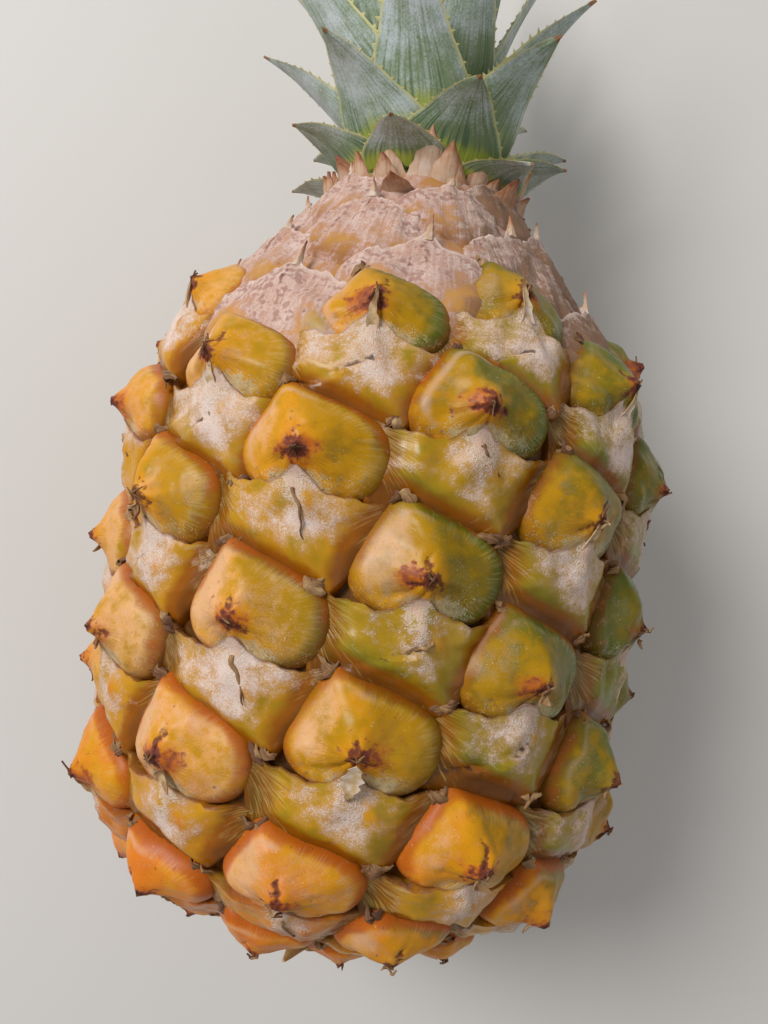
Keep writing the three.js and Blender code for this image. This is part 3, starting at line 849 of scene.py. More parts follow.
@dataclass(frozen=True)
class BractForm:
    """The fleshy bract under an eye, between four domes, whose top edge stands over its own dome's foot."""

    left: float = -0.335
    right: float = 0.345
    lower_sides: tuple[float, ...] = (-1.0, -0.78, 0.2, 1.0)
    lower_across: tuple[float, ...] = (-0.34, -0.305, 0.12, 0.36)
    lower_up: tuple[float, ...] = (-0.1, -0.325, -0.395, -0.12)
    peak: float = 0.03
    peak_width: float = 0.045
    climb_width: float = 0.1
    foot: float = 0.028
    body: float = 0.04
    ridge: float = 0.034
    lobe: float = 0.014
    lip: float = 0.006
    crease_start: tuple[float, float] = (0.02, -0.17)
    crease_end: tuple[float, float] = (-0.25, -0.262)
    round_domes: tuple[tuple[float, float], ...] = ((-0.538, -0.176), (-0.142, -0.457), (0.396, -0.281))

    def top_edge(self, across: Array, climb: Array | float = 0) -> Array:
        """The top edge: from wing tip to wing tip it sags under the dome, and peaks under the beak.

        Args:
            across: places across from the beak.
            climb: how much higher a broad peak climbs on the dome towards the star.

        Returns:
            Places up from the beak.
        """
        middle = (self.left + self.right) / 2
        half = (self.right - self.left) / 2
        line = -0.072 - 0.05 * (across - middle)
        sag = 0.045 * np.clip(1 - ((across - middle) / half) ** 2, 0, 1)
        peak = self.peak * hill(across, 0, self.peak_width)
        return line - sag + peak + climb * hill(across, 0, self.climb_width)

    def place(self, side: Array, down: Array, climb: Array | float) -> tuple[Array, Array]:
        """Places across and up for shares across and down, evenly between the top and the lower edge.

        Args:
            side: from -1 to 1 across the bract.
            down: from 0 at the top edge to 1 at the lower edge.
            climb: how much higher the top edge's broad peak climbs.

        Returns:
            Places across and up from the beak.
        """
        top_across = self.left + (self.right - self.left) * (side + 1) / 2
        low_across = np.interp(side, self.lower_sides, self.lower_across)
        low_up = np.interp(side, self.lower_sides, self.lower_up)
        across = top_across * (1 - down) + low_across * down
        return across, self.top_edge(top_across, climb) * (1 - down) + low_up * down

    def near(self, dome: DomeForm, across: Array, up: Array) -> Array:
        """The least rim share of the three neighbouring domes, which is 1 where the nearest one rises."""
        shares = [dome.rim_share(across - x, up - y) for x, y in self.round_domes]
        return np.minimum(np.minimum(shares[0], shares[1]), shares[2])


class TipKind(Enum):
    """How the dry tip of a bract lies."""

    STANDING = "stands over the star"
    CURLED = "has curled down over the bract"
    FLAP = "is a broad pale flap under the star"
    SHORT = "is a short scrap at the star"


@dataclass
class SubAssembly:
    """What each sub-assembly is built on: the fruit's form, and how it lies."""

    form: FruitForm
    pose: LaidPose

    def upright_straps(
        self, path: Array, angle: Array, half_width: Array, thickness: float, curl: float,
        seeds: Array, along: Array, tone: Array | float, finish: int,
    ) -> Shell:
        """Dry straps with their faces square to the axis.

        Args:
            path: standing, count x steps x 3.
            angle: of each strap round the axis.
            half_width: count x steps.
            thickness: of the straps.
            curl: how far the edges turn up.
            seeds: a number for each strap.
            along: the way along them, for the grain.
            tone: -1 pale and 1 dark.
            finish: which of the piece's finishes they take.

        Returns:
            A shell.
        """
        side = np.broadcast_to(outward(angle + np.pi / 2)[:, None], path.shape)
        rings = strap(path, side, half_width, thickness, curl)
        grain = strap_grain(half_width, 3 * seeds[:, None, None], along)
        return loft(self.pose.place(rings), {"tone": tone}, grain, finish)


@dataclass
class EyeRows(SubAssembly):
    """The thirteen steep rows of eyes, each eye with its dome, star, bract, dry tip and scraps.

    A few beaks stand aside from the even spiral, by so much across and up. These and the dry tips whose
    kind is known go by the eye's number. The rest is dealt out by chance. The salts of some draws were
    picked so that eyes in front come out about as green, olive, dusty, flushed or folded as the real ones.
    """

    dome: DomeForm = field(default_factory=DomeForm)
    bract: BractForm = field(default_factory=BractForm)
    lowest_z: float = 1.6
    highest_z: float = 98.0
    ripe_below_z: float = 42.0
    top_starts_z: float = 48.0
    top_ends_z: float = 96.0
    tips_stand_above_z: float = 80.0
    rings: int = 24
    spokes: int = 72
    bract_columns: int = 41
    bract_rows: int = 24
    fold_share: float = 0.5
    edge_thickness: float = 0.013
    bit_thickness_mm: float = 0.24
    aside: dict[int, tuple[float, float]] = field(
        default_factory=lambda: {
            -8: (0.015, -0.02), -5: (-0.01, 0.045), 0: (0.02, -0.01), 3: (-0.03, 0.03),
            5: (-0.025, 0.03), 8: (0.03, 0.0), 18: (-0.025, 0.035), 26: (-0.045, 0.005),
            29: (0.06, -0.035), 39: (-0.025, -0.045),
        }
    )
    known_tips: dict[int, TipKind] = field(
        default_factory=lambda: {0: TipKind.FLAP}
        | dict.fromkeys((8, 13, 21, 26), TipKind.CURLED)
        | dict.fromkeys((-8, 5, 16), TipKind.SHORT)
    )

    def build(self) -> list[Object]:
        """Builds one piece for each row.

        Returns:
            The thirteen pieces.
        """
        numbers = self.form.eyes_between(self.lowest_z, self.highest_z)
        log.info("eyes from %d to %d", numbers[0], numbers[-1])
        pieces = []
        for row in range(self.form.rows):
            eyes = numbers[numbers % self.form.rows == row]
            shells = [self.domes(eyes), self.bracts(eyes), *self.dry_bits(eyes)]
            name = f"eye_row_{row + 1:02d}"
            finishes = [Finish.EYE, Finish.BRACT, Finish.DRY]
            pieces.append(make_piece(name + "_skin", shells, finishes, "rind", name))
        return pieces

    def ripeness(self, eyes: Array) -> Array:
        """How ripe each eye is: more towards the left and the base, less on the right, with some chance.

        Args:
            eyes: their numbers.

        Returns:
            From about 0 for green to about 1 for ripe.
        """
        angle = self.form.eye_angle(eyes)
        z = self.form.eye_height(eyes)
        left = -np.sin(angle)
        low = np.clip((self.ripe_below_z - z) / self.ripe_below_z, 0, 1)
        return 0.34 + 0.22 * left + 0.65 * low + spread(eyes, 1, -0.1, 0.1)

    def near_top(self, eyes: Array) -> Array:
        """How near each eye is to the shoulder, 0 at the middle of the fruit and 1 at the highest eyes."""
        return smooth(self.form.eye_height(eyes), self.top_starts_z, self.top_ends_z)

    def local(self, eyes: Array, across: Array, up: Array, stand: Array) -> Array:
        """Places beside the eyes as laid points.

        Args:
            eyes: their numbers, for the first axis of the places.
            across: places across from each beak.
            up: places up from each beak.
            stand: heights out of the groove.

        Returns:
            Points in metres.
        """
        numbers = np.asarray(eyes).reshape((-1,) + (1,) * (np.ndim(across) - 1))
        aside = np.array([self.aside.get(int(eye), (0, 0)) for eye in numbers.ravel()])
        angle = self.form.eye_angle(numbers) + aside[:, 0].reshape(numbers.shape) + across
        rise = self.form.eye_rise(numbers) + aside[:, 1].reshape(numbers.shape) + up
        return self.pose.place(self.form.skin(angle, rise, stand))

    def radius(self, eyes: Array) -> Array:
        """The fruit's radius at each eye."""
        return self.form.outline(self.form.eye_height(eyes))

    def cracks(self, eyes: Array, across: Array, up: Array) -> Array:
        """The star of cracks where the sepals meet over the old flower.

        Each crack is a line from the beak at its own angle. The field is 1 on it and falls with the
        distance across over a width that narrows to the crack's end.

        Args:
            eyes: their numbers, shaped to match.
            across: places across from the beak.
            up: places up from it.

        Returns:
            The field from 0 to about 1.
        """
        radius = self.radius(eyes)
        far = np.hypot(across, up) * radius
        turn = np.arctan2(up, across)
        field_of_all = np.zeros(far.shape)
        for arm, (degrees, low, high) in enumerate(((90, 1.6, 5.2), (205, 1, 3.2), (-22, 1, 3.2))):
            aim = np.radians(degrees + spread(eyes, 10 + arm, -20, 20))
            bend = spread(eyes, 20 + arm, -0.09, 0.09)
            length = spread(eyes, 30 + arm, low, high) * radius / 43
            jag = 0.12 * np.sin(2.6 * far + 6 * chance(eyes, 24 + arm))
            off = turn - aim - bend * far - jag
            beside = np.abs(far * np.sin(off))
            along = far * np.cos(off)
            width = 1.5 * (1 - 0.6 * np.clip(along / length, 0, 1))
            arm_field = np.clip(1 - beside / width, 0, 1) * (1 - smooth(along / length, 0.7, 1.1))
            field_of_all = np.maximum(field_of_all, np.where(along > -0.2, arm_field, 0))
        heart = 1.05 * hill(far, 0, 1.35)
        return np.maximum(field_of_all * 0.8, heart)

    def domes(self, eyes: Array) -> Shell:
        """The inflated domes with their beaks.

        Rings run from the beak to the rim along spokes, then dip under the rim to close the shell.

        Args:
            eyes: their numbers.

        Returns:
            A shell with all domes.
        """
        numbers = eyes[:, None, None]
        share = np.linspace(0, 1, self.rings + 1)[1:]
        share = 0.5 * share + 0.5 * np.sin(share * np.pi / 2)
        share = np.concatenate([share, [1.0]])[None, :, None]
        rim_x, rim_y = self.dome.rim(turns(self.spokes))
        across, up = np.broadcast_arrays(share * rim_x + 0 * numbers, share * rim_y + 0 * numbers)
        rim = self.dome.rim_share(across, up)
        crack = self.cracks(numbers, across, up)
        keel = across + spread(numbers, 4, 0.3, 0.6) * up
        stand = self.dome_relief(numbers, across, up, rim, keel) - 0.012 * np.minimum(crack, 1) ** 1.5
        stand[:, -1] = HIDDEN_STAND
        points = self.local(eyes, across, up, stand)
        masks = self.dome_masks(numbers, across, up, rim, keel) | {"scar": crack}
        around = np.arctan2(up, across)
        far = np.hypot(across, up) * self.radius(numbers)
        grain = np.stack([9 * np.cos(around), 9 * np.sin(around), 0.1 * far + 3 * numbers], -1)
        return loft(points, masks, grain, 0)

    def dome_relief(self, eyes: Array, across: Array, up: Array, rim: Array, keel: Array) -> Array:
        """The dome's height with its keel, the folds that run from the star down, and lumps.

        The keel is a soft ridge from the star to the top corner, and the skin on its left falls lower.

        Args:
            eyes: their numbers, shaped to match.
            across: places across from the beak.
            up: places up from it.
            rim: how near each place is to the rim.
            keel: how far each place is to the right of the keel.

        Returns:
            Heights out of the groove.
        """
        stand = self.dome.height(across, up) * spread(eyes, 3, 0.94, 1.04)
        inside = 1 - smooth(rim, 0.75, 1)
        on_keel = smooth(up, 0.01, 0.08) * (1 - smooth(rim, 0.9, 1))
        stand += 0.009 * np.exp(-np.hypot(keel, 0.035) / 0.06) * on_keel
        stand -= 0.012 * smooth(-keel, 0, 0.15) * smooth(up, -0.02, 0.1) * inside
        around = np.arctan2(up, across)
        lower = smooth(-np.sin(around), -0.4, 0.3) * smooth(rim, 0.15, 0.5) * inside
        folds = np.abs(np.sin(4.5 * around + 6.3 * chance(eyes, 5) + 3 * rim))
        stand += 0.011 * (folds**0.6 - 0.7) * lower * spread(eyes, 9, 0.3, 1)
        sideways = np.sin(self.form.eye_angle(eyes))
        rough = 1 + 1.2 * np.clip(sideways, 0, 1)
        stand += 0.035 * sideways**2 * np.exp(-np.hypot(across, 1.4 * up) / 0.04) * inside
        stand += 0.01 * rough * uneven(across, up, eyes, 0.16) * inside
        return stand + 0.0028 * uneven(across, up, eyes + 0.5, 0.05) * inside

    def dome_masks(self, eyes: Array, across: Array, up: Array, rim: Array, keel: Array) -> dict[str, Array]:
        """Where the dome's tones lie.

        Args:
            eyes: their numbers, shaped to match.
            across: places across from the beak.
            up: places up from it.
            rim: how near each place is to the rim.
            keel: how far each place is to the right of the keel.

        Returns:
            A number at each place for each layer's mask.
        """
        ripe = self.ripeness(eyes)
        right = np.sin(self.form.eye_angle(eyes))
        around = np.arctan2(up, across)
        to_right = smooth(np.cos(around - 0.5), -0.6, 0.6)
        star_x = across - spread(eyes, 323, -0.055, 0.045)
        star_far = np.hypot(star_x, 1.5 * up)
        star = hill(np.hypot(across, up), 0, 0.06)
        foot = smooth(-up, 0.03, 0.08)
        top = self.near_top(eyes)
        return {
            "ripe": ripe + 0.2 * smooth(-up, 0, 0.1) - 0.6 * across + 0.25 * star,
            # Olive: the eye's own colour on the right of the fruit and on the less ripe eyes, and painted
            # shade on the far side of the keel.
            "olive": 0.45 * smooth(keel, 0, 0.07) + 0.35 * right - 0.8 * (ripe - 0.45) + 0.2 * top
            + spread(eyes, 352.5, -0.35, 0.25) - 0.4 * star,
            # Painted sheen on the lit upper left facet, left of the keel, over a milky layer.
            "film": 0.7 * smooth(-keel, -0.01, 0.06) * hill(rim, 0.62, 0.3) * smooth(up, -0.11, 0.04)
            - 0.45 * right - 0.25 * top - 0.5 * smooth(ripe, 0.72, 1) + spread(eyes, 235.5, -0.25, 0.3)
            - 0.2 * star,
            "green": 0.65 * hill(rim, 0.9, 0.18) * to_right + 0.35 * right - 0.7 * (ripe - 0.45)
            + 0.3 * top * smooth(across + up, -0.05, 0.15) + spread(eyes, 181.5, -0.25, 0.3),
            # Painted glow at the rim: deep orange rim shade on the ripe eyes, stronger towards the top.
            "glow": smooth(rim, 0.7, 0.92) * np.clip(0.5 + 1.5 * (ripe - 0.4), 0.2, 1.1)
            * (0.55 + 0.45 * smooth(np.cos(around - 1.9), -0.6, 0.4)),
            # Painted shade towards the rim, stronger towards the top.
            "rim": smooth(rim, 0.66, 1) * (0.7 + 0.3 * smooth(np.cos(around - 1.7), -0.4, 0.6)),
            "speck": 0.17 + 0.2 * foot,
            # Painted sheen on the upper left rim.
            "lilac": hill(rim, 0.74, 0.07) * smooth(np.cos(around - 2.5), 0, 0.8)
            * spread(eyes, 12, 0.1, 0.9),
            "fan": hill(rim, 0.76, 0.15) * (0.3 + 0.6 * smooth(np.cos(around - 0.4), -0.3, 0.7)),
            "wrinkle": 0.9 * hill(np.hypot(across, up), 0.065, 0.045) * smooth(-np.sin(around), -0.7, 0.3),
            "powder": 0.75 * hill(across, 0.09, 0.07) * hill(up, -0.075, 0.05) * chance(eyes, 393.5)
            + 1.2 * hill(across, 0, 0.06) * foot + 0.5 * hill(across, 0, 0.13) * foot
            + 0.32 * smooth(-up, -0.08, 0.12) * chance(eyes, 393.6) + 0.1 * right,
            "blush": hill(star_far, 0, spread(eyes, 14, 0.05, 0.085)) * spread(eyes, 397.5, 0.5, 1.15),
        }

    def fold(self, eyes: Array, across: Array, up: Array) -> tuple[Array, Array]:
        """A crease from the bract's middle to its lower left corner, on some of the bracts.

        It is a bell of the distance from the line between the two places. Below it lies a tongue,
        which is highest at the crease and falls away from it.

        Args:
            eyes: their numbers, shaped to match.
            across: places across from the beak.
            up: places up from it.

        Returns:
            1 on the crease and 0 elsewhere, and 1 at the tongue's edge and 0 away from it.
        """
        start, end = np.array(self.bract.crease_start), np.array(self.bract.crease_end)
        span = end - start
        along = ((across - start[0]) * span[0] + (up - start[1]) * span[1]) / (span @ span)
        inside = smooth(along, -0.15, 0.1) * (1 - smooth(along, 0.85, 1.1))
        bow = 0.022 * np.sin(np.pi * np.clip(along, 0, 1)) + 0.006 * np.sin(9 * along + eyes)
        x, y = across - start[0] - along * span[0], up - start[1] - along * span[1] + bow
        below = -y
        has = chance(eyes, 70.5) < self.fold_share
        crease = hill(np.hypot(x, y), 0, 0.0085)
        tongue = smooth(below, -0.004, 0.006) * np.exp(-np.maximum(below, 0) / 0.035)
        return np.where(has, crease * inside, 0), np.where(has, tongue * inside, 0)

    def pad_height(self, across: Array, up: Array, side: Array, down: Array, eyes: Array) -> Array:
        """The bract's height out of the groove.

        The body swells away from the neighbouring domes, a ridge runs down from the beak's foot, two
        lobes swell beside the lower end, and the top edge rises to hug the dome.

        Args:
            across: places across from the beak.
            up: places up from it.
            side: from -1 to 1 across the bract.
            down: from 0 at the top edge to 1 at the lower edge.
            eyes: their numbers, shaped to match.

        Returns:
            Heights for each place.
        """
        bract = self.bract
        near = bract.near(self.dome, across, up)
        middle = 0.06 * down**1.5
        crease, tongue = self.fold(eyes, across, up)
        stand = bract.foot + bract.body * smooth(near, 0.93, 1.5)
        stand += bract.ridge * np.exp(-np.hypot(across - middle, 0.012) / 0.04) * (1 - down) ** 0.6
        lobes = hill(down, 0.68, 0.2) * (hill(side, -0.42, 0.22) + hill(side, 0.42, 0.2))
        stand += bract.lobe * lobes
        stand -= 0.01 * hill(across, middle, 0.012) * smooth(down, 0.3, 0.6)
        left_flap = hill(across, spread(eyes, 45, -0.06, 0), 0.032)
        right_flap = hill(across, spread(eyes, 46, 0.03, 0.08), 0.026)
        stand += 0.014 * (left_flap + right_flap) * hill(down, spread(eyes, 47, 0.2, 0.35), 0.12)
        stand = stand - 0.012 * crease + 0.016 * tongue
        folds = np.cos(19 * np.abs(side) + 5 * down + 6.3 * chance(eyes, 40))
        stand += 0.0042 * (folds * smooth(np.abs(side), 0.25, 0.6)) * (1 - down)
        stand += 0.01 * uneven(across, up, eyes, 0.14) * smooth(near, 0.95, 1.3)
        stand += 0.004 * uneven(across, up, eyes + 0.5, 0.045)
        edge = self.dome.height(across, up) + bract.lip
        lifted = np.maximum(edge - stand, 0) * (1 - smooth(down, 0, 0.32))
        sunk = 0.05 * smooth(down, 0.93, 1) + 0.05 * smooth(np.abs(side), 0.94, 1)
        return stand + lifted - sunk

    def bracts(self, eyes: Array) -> Shell:
        """The fleshy bracts, each lofted from one wing's end to the other through closed sections.

        Args:
            eyes: their numbers.

        Returns:
            A shell with all bracts.
        """
        numbers = eyes[:, None, None]
        side = np.linspace(-LAST_SECTION, LAST_SECTION, self.bract_columns)[None, :, None]
        over = np.linspace(0, 1, self.bract_rows) ** 1.25
        under = np.array([0.97, 0.6, 0.2, 0.0])
        down = np.concatenate([over, under])[None, None, :]
        shape = (len(eyes), self.bract_columns, down.shape[2])
        side, down = np.broadcast_to(side, shape), np.broadcast_to(down, shape)
        climb = 0.03 * self.near_top(numbers) + spread(numbers, 431, 0.015, 0.04)
        across, up = self.bract.place(side, down, climb)
        ragged = 0.005 * np.sin(45 * across + 7 * chance(numbers, 42))
        ragged += 0.003 * np.sin(110 * across + numbers)
        up = up + ragged * (1 - smooth(down, 0, 0.1))
        stand = self.pad_height(across, up, side, down, numbers)
        below = len(over)
        stand[:, :, below:] = HIDDEN_STAND
        stand[:, :, -1] = stand[:, :, 0] - self.edge_thickness
        points = self.local(eyes, across, up, stand)
        fan = np.arctan2(up + 0.07, 0.36 - np.abs(across))
        far = np.hypot(up + 0.07, 0.36 - np.abs(across)) * self.radius(numbers)
        grain = np.stack([11 * fan, np.sign(across) * 5, 0.1 * far + 3 * numbers], -1)
        return loft(points, self.bract_masks(numbers, across, up, side, down), grain, 1)

    def bract_masks(
        self, eyes: Array, across: Array, up: Array, side: Array, down: Array
    ) -> dict[str, Array]:
        """Where the bract's tones lie.

        Args:
            eyes: their numbers, shaped to match.
            across: places across from the beak.
            up: places up from it.
            side: from -1 to 1 across the bract.
            down: from 0 at the top edge to 1 at the lower edge.

        Returns:
            A number at each place for each layer's mask.
        """
        ripe = self.ripeness(eyes)
        right = np.sin(self.form.eye_angle(eyes))
        near = self.bract.near(self.dome, across, up)
        wing = smooth(np.abs(side), 0.55, 0.95)
        lobe = hill(down, 0.72, 0.22) * (hill(side, -0.45, 0.24) + hill(side, 0.45, 0.22))
        centre = smooth(near, 1.1, 1.5) * (1 - 0.5 * wing)
        crease, tongue = self.fold(eyes, across, up)
        top = self.near_top(eyes)
        on_ridge = np.exp(-np.abs(across - 0.06 * down**1.5) / 0.022) * (1 - smooth(down, 0.45, 0.8))
        flap = hill(across, spread(eyes, 46, 0.03, 0.08), 0.024)
        flap = flap * hill(down, spread(eyes, 47, 0.2, 0.35), 0.09)
        glow = smooth(ripe, 0.6, 1)
        return {
            "ripe": ripe + 0.1 - 0.3 * wing + 0.4 * flap + 0.35 * glow,
            "green": 0.5 * wing + 0.75 * lobe + 0.45 * right - 0.9 * (ripe - 0.45)
            + spread(eyes, 43, -0.2, 0.2),
            # Painted shade in the hollows beside the neighbouring domes and towards the fruit's right, less
            # on the ripe eyes.
            "valley": 1.2 - 1.2 * smooth(near, 0.94, 1.42) + 0.3 * np.clip(right, 0, 1) - 0.6 * glow,
            "fan": 0.1 + 0.6 * smooth(np.abs(side), 0.3, 0.75) * (1 - 0.7 * smooth(down, 0.5, 0.9)),
            "bloom": 0.4 * centre + 0.4 * hill(across, 0.02, 0.08) * centre * (1 - smooth(down, 0.5, 0.95))
            - 0.8 * lobe - 0.35 * smooth(down, 0.4, 0.9) - 0.4 * wing * (1 - 0.6 * top) - 0.25 * tongue
            - 0.4 * flap + 0.22 * top + 0.25 * on_ridge - 0.6 * glow - 0.12 * np.clip(right, 0, 1)
            + spread(eyes, 424.5, -0.32, 0.22),
            "wool": 1.5 * hill(across, spread(eyes, 48, -0.02, 0.02), 0.06) * (1 - smooth(down, 0.05, 0.5))
            + 0.8 * on_ridge + 0.1 * top + spread(eyes, 437, -0.1, 0.25) - 0.25 * glow - 0.9,
            "edge": 1 - smooth(down, 0, 0.04),
            "fold": crease,
        }

    def bits(
        self, eyes: Array, across: Array, up: Array, stand: Array,
        half_width: Array, curl: Array | float, tone: Array,
    ) -> Shell:
        """Dry straps along paths beside the eyes.

        Args:
            eyes: the eye of each strap.
            across: straps x steps.
            up: straps x steps.
            stand: straps x steps.
            half_width: straps x steps, in millimetres.
            curl: how far the edges turn up.
            tone: straps x steps or straps x 1, -1 pale and 1 dark.

        Returns:
            A shell in the dry finish.
        """
        path = self.local(eyes, across, up, stand) / MM
        along = np.stack([np.gradient(across, axis=1), np.gradient(up, axis=1)], -1)
        along = unit(along + 1e-6)
        reach = 0.01
        beside = self.local(eyes, across - along[..., 1] * reach, up + along[..., 0] * reach, stand) / MM
        rings = strap(path, unit(beside - path), half_width, self.bit_thickness_mm, curl)
        length = np.cumsum(np.linalg.norm(np.diff(path, axis=1, prepend=path[:, :1]), axis=-1), 1)
        grain = strap_grain(half_width, 7 * eyes[:, None, None], 0.12 * length[..., None])
        return loft(rings * MM, {"tone": tone[..., None]}, grain, 2)

    def tip_kinds(self, eyes: Array) -> list[TipKind]:
        """How each eye's dry tip lies: standing near the shoulder, and elsewhere known or by chance.

        Args:
            eyes: their numbers.

        Returns:
            One kind for each eye.
        """
        high = self.form.eye_height(eyes) > self.tips_stand_above_z
        draw = np.searchsorted([0.45, 0.85, 0.93], chance(eyes, 50))
        choices = [TipKind.CURLED, TipKind.SHORT, TipKind.FLAP, TipKind.STANDING]
        return [
            TipKind.STANDING if up else self.known_tips.get(int(eye), choices[int(choice)])
            for eye, up, choice in zip(eyes, high, draw)
        ]

    def dry_bits(self, eyes: Array) -> list[Shell]:
        """The dry tips, the fibres of the old flowers and the scraps at the corners of the eyes.

        Args:
            eyes: their numbers.

        Returns:
            Their shells.
        """
        kinds = self.tip_kinds(eyes)
        shells = []
        for kind in TipKind:
            some = eyes[[one is kind for one in kinds]]
            if len(some):
                shells.append(self.tips(some, kind))
        return [*shells, self.fibres(eyes), self.scraps(eyes)]

    def on_pad(self, eyes: Array, across: Array, up: Array) -> Array:
        """The bract's height at places near its middle, or the dome's where it is higher.

        Args:
            eyes: their numbers, shaped to match.
            across: places across from the beak.
            up: places up from it.

        Returns:
            Heights out of the groove.
        """
        top = self.bract.top_edge(across)
        down = np.clip((top - up) / (top + 0.38), 0, 1)
        pad = self.pad_height(across, up, across / 0.34, down, eyes)
        return np.maximum(pad, self.dome.height(across, up))

    def tips(self, eyes: Array, kind: TipKind) -> Shell:
        """The dry tips of one kind.

        Args:
            eyes: their numbers.
            kind: how they lie.

        Returns:
            A shell of straps.
        """
        number = eyes[:, None]
        step = np.linspace(0, 1, 13)[None]
        sway = spread(number, 51, -1, 1)
        if kind is TipKind.STANDING:
            across = 0.03 * sway * step
            up = -0.08 + spread(number, 52, 0.09, 0.13) * step
            stand = 0.075 + spread(number, 53, 0.07, 0.1) * step**0.8
            across += 0.008 * np.sin(7 * step + number) * step
            torn = 1 + 0.2 * np.sin(25 * step + number)
            half_width = spread(number, 54, 0.65, 1.05) * (1 - step) ** 1.4 * torn + 0.06
            curl, tone = -0.6, spread(number, 55, -0.75, -0.35) + 1.2 * step**2
        elif kind is TipKind.FLAP:
            across = 0.03 * sway * step
            up = -0.015 - spread(number, 52, 0.11, 0.15) * step
            stand = self.on_pad(number, across, up) + 0.003 + 0.012 * np.sin(np.pi * step)
            half_width = spread(number, 54, 0.9, 1.3) * np.sin(np.pi * step**0.75) ** 0.8 * (1 - 0.25 * step)
            half_width = half_width * (1 + 0.3 * np.sin(23 * step + number)) + 0.06
            curl, tone = -0.3, spread(number, 55, -0.8, -0.6) + 0.7 * step**3
        elif kind is TipKind.SHORT:
            across = 0.02 * sway + spread(number, 56, -0.03, 0.05) * step
            up = -0.03 - spread(number, 52, 0.01, 0.06) * step
            stand = self.on_pad(number, across, up) + 0.004 + 0.035 * step**1.5
            half_width = spread(number, 54, 0.5, 0.9) * (1 - step) ** 0.7 + 0.05
            curl, tone = -0.5, spread(number, 55, -0.2, 0.3)
        else:
            folded = chance(number, 70.5) < self.fold_share
            long = spread(number, 52, 0.3, 0.6)
            wander = 0.01 * np.sin(6 * step + 6 * chance(number, 56)) + 0.004 * np.sin(17 * step + number)
            wander = long * wander
            across = np.where(folded, 0.04 - 0.22 * step * long, 0.05 * step * (1 + 0.4 * sway))
            across += wander * (1 - folded)
            up = np.where(folded, -0.165 - 0.1 * step * long, -0.1 - 0.22 * step * long) + wander * folded
            arch = 0.004 * np.sin(3 * np.pi * step + 3 * chance(number, 57)) ** 2
            stand = self.on_pad(number, across, up) + 0.001 + arch
            torn = 1 + 0.1 * np.sin(31 * step)
            half_width = spread(number, 54, 0.12, 0.26) * (1 - step**1.6) * torn + 0.05
            curl, tone = 0.3, spread(number, 55, -0.2, 0.2) + 0.5 * step
        return self.bits(eyes, across, up, stand, half_width, curl, tone)

    def fibres(self, eyes: Array, each: int = 5) -> Shell:
        """Fine dry hairs of the old flower at each star's heart.

        Args:
            eyes: their numbers.
            each: hairs for an eye.

        Returns:
            A shell of straps.
        """
        owners = np.repeat(eyes, each)
        seeds = (owners * 7 + np.tile(np.arange(each), len(eyes)))[:, None]
        step = np.linspace(0, 1, 6)[None]
        aim = spread(seeds, 60, 0, 2 * np.pi)
        reach = spread(seeds, 61, 0.012, 0.034)
        across = np.cos(aim) * reach * step + 0.008 * spread(seeds, 62, -1, 1) * step**2
        up = np.sin(aim) * reach * step
        lift = spread(seeds, 63, 0, 0.024) * step
        stand = np.maximum(self.dome.height(across, up), 0.12) - 0.006 + lift
        half_width = spread(seeds, 64, 0.08, 0.2) * (1 - 0.7 * step)
        return self.bits(owners, across, up, stand, half_width, 0.4, spread(seeds, 65, -0.2, 0.8))

    def scraps(self, eyes: Array, each: int = 3) -> Shell:
        """Papery flakes, half rolled, at the two corners that each eye shares with its neighbours.

        Args:
            eyes: their numbers.
            each: flakes at a corner.

        Returns:
            A shell of straps.
        """
        corners = np.array([(-0.1, 0.19), (0.11, -0.345)])
        owners = np.repeat(eyes, 2 * each)
        corner = corners[np.tile(np.repeat([0, 1], each), len(eyes))]
        seeds = (owners * 11 + np.tile(np.arange(2 * each), len(eyes)))[:, None]
        step = np.linspace(-0.5, 0.5, 9)[None]
        aim = spread(seeds, 70, -0.8, 1)
        long = spread(seeds, 71, 0.035, 0.095)
        bend = spread(seeds, 79, -1.2, 1.2) * step
        across = corner[:, :1] + spread(seeds, 72, -0.03, 0.03) + np.cos(aim + bend) * long * step
        up = corner[:, 1:] + spread(seeds, 73, -0.014, 0.014) + np.sin(aim + bend) * long * step
        arch = spread(seeds, 74, 0.045, 0.066) - 0.06 * np.abs(step) ** 1.5
        stand = arch + 0.005 * np.sin(9 * step + 6 * chance(seeds, 75))
        torn = 1 + 0.3 * np.sin(17 * step + 6 * chance(seeds, 68))
        half_width = spread(seeds, 76, 0.25, 0.8) * (1 - 3 * step**2) * torn
        curl = spread(seeds, 77, 0, 0.5)
        return self.bits(owners, across, up, stand, half_width, curl, spread(seeds, 78, -0.15, 0.6))


@dataclass
class FruitBody(SubAssembly):
    """The flesh with the skin of the grooves, seen only between the eyes."""

    low_z: float = 0.4
    high_z: float = 99.0
    rings: int = 70
    sides: int = 144

    def build(self) -> Object:
        """Builds a closed turned body just above the floor of the grooves.

        Returns:
            The piece.
        """
        rise = np.linspace(self.form.rise_at(self.low_z), self.form.rise_at(self.high_z), self.rings)
        turn = turns(self.sides)
        waves = 0.004 * np.sin(23 * turn[None, :] + 60 * rise[:, None])
        points = self.form.skin(turn[None, None, :], rise[None, :, None], 0.004 + waves[None])
        shell = loft(self.pose.place(points), {"ripe": 0.6})
        return make_piece("fruit_body_groove_skin", [shell], [Finish.GROOVE], "flesh", "fruit_flesh")


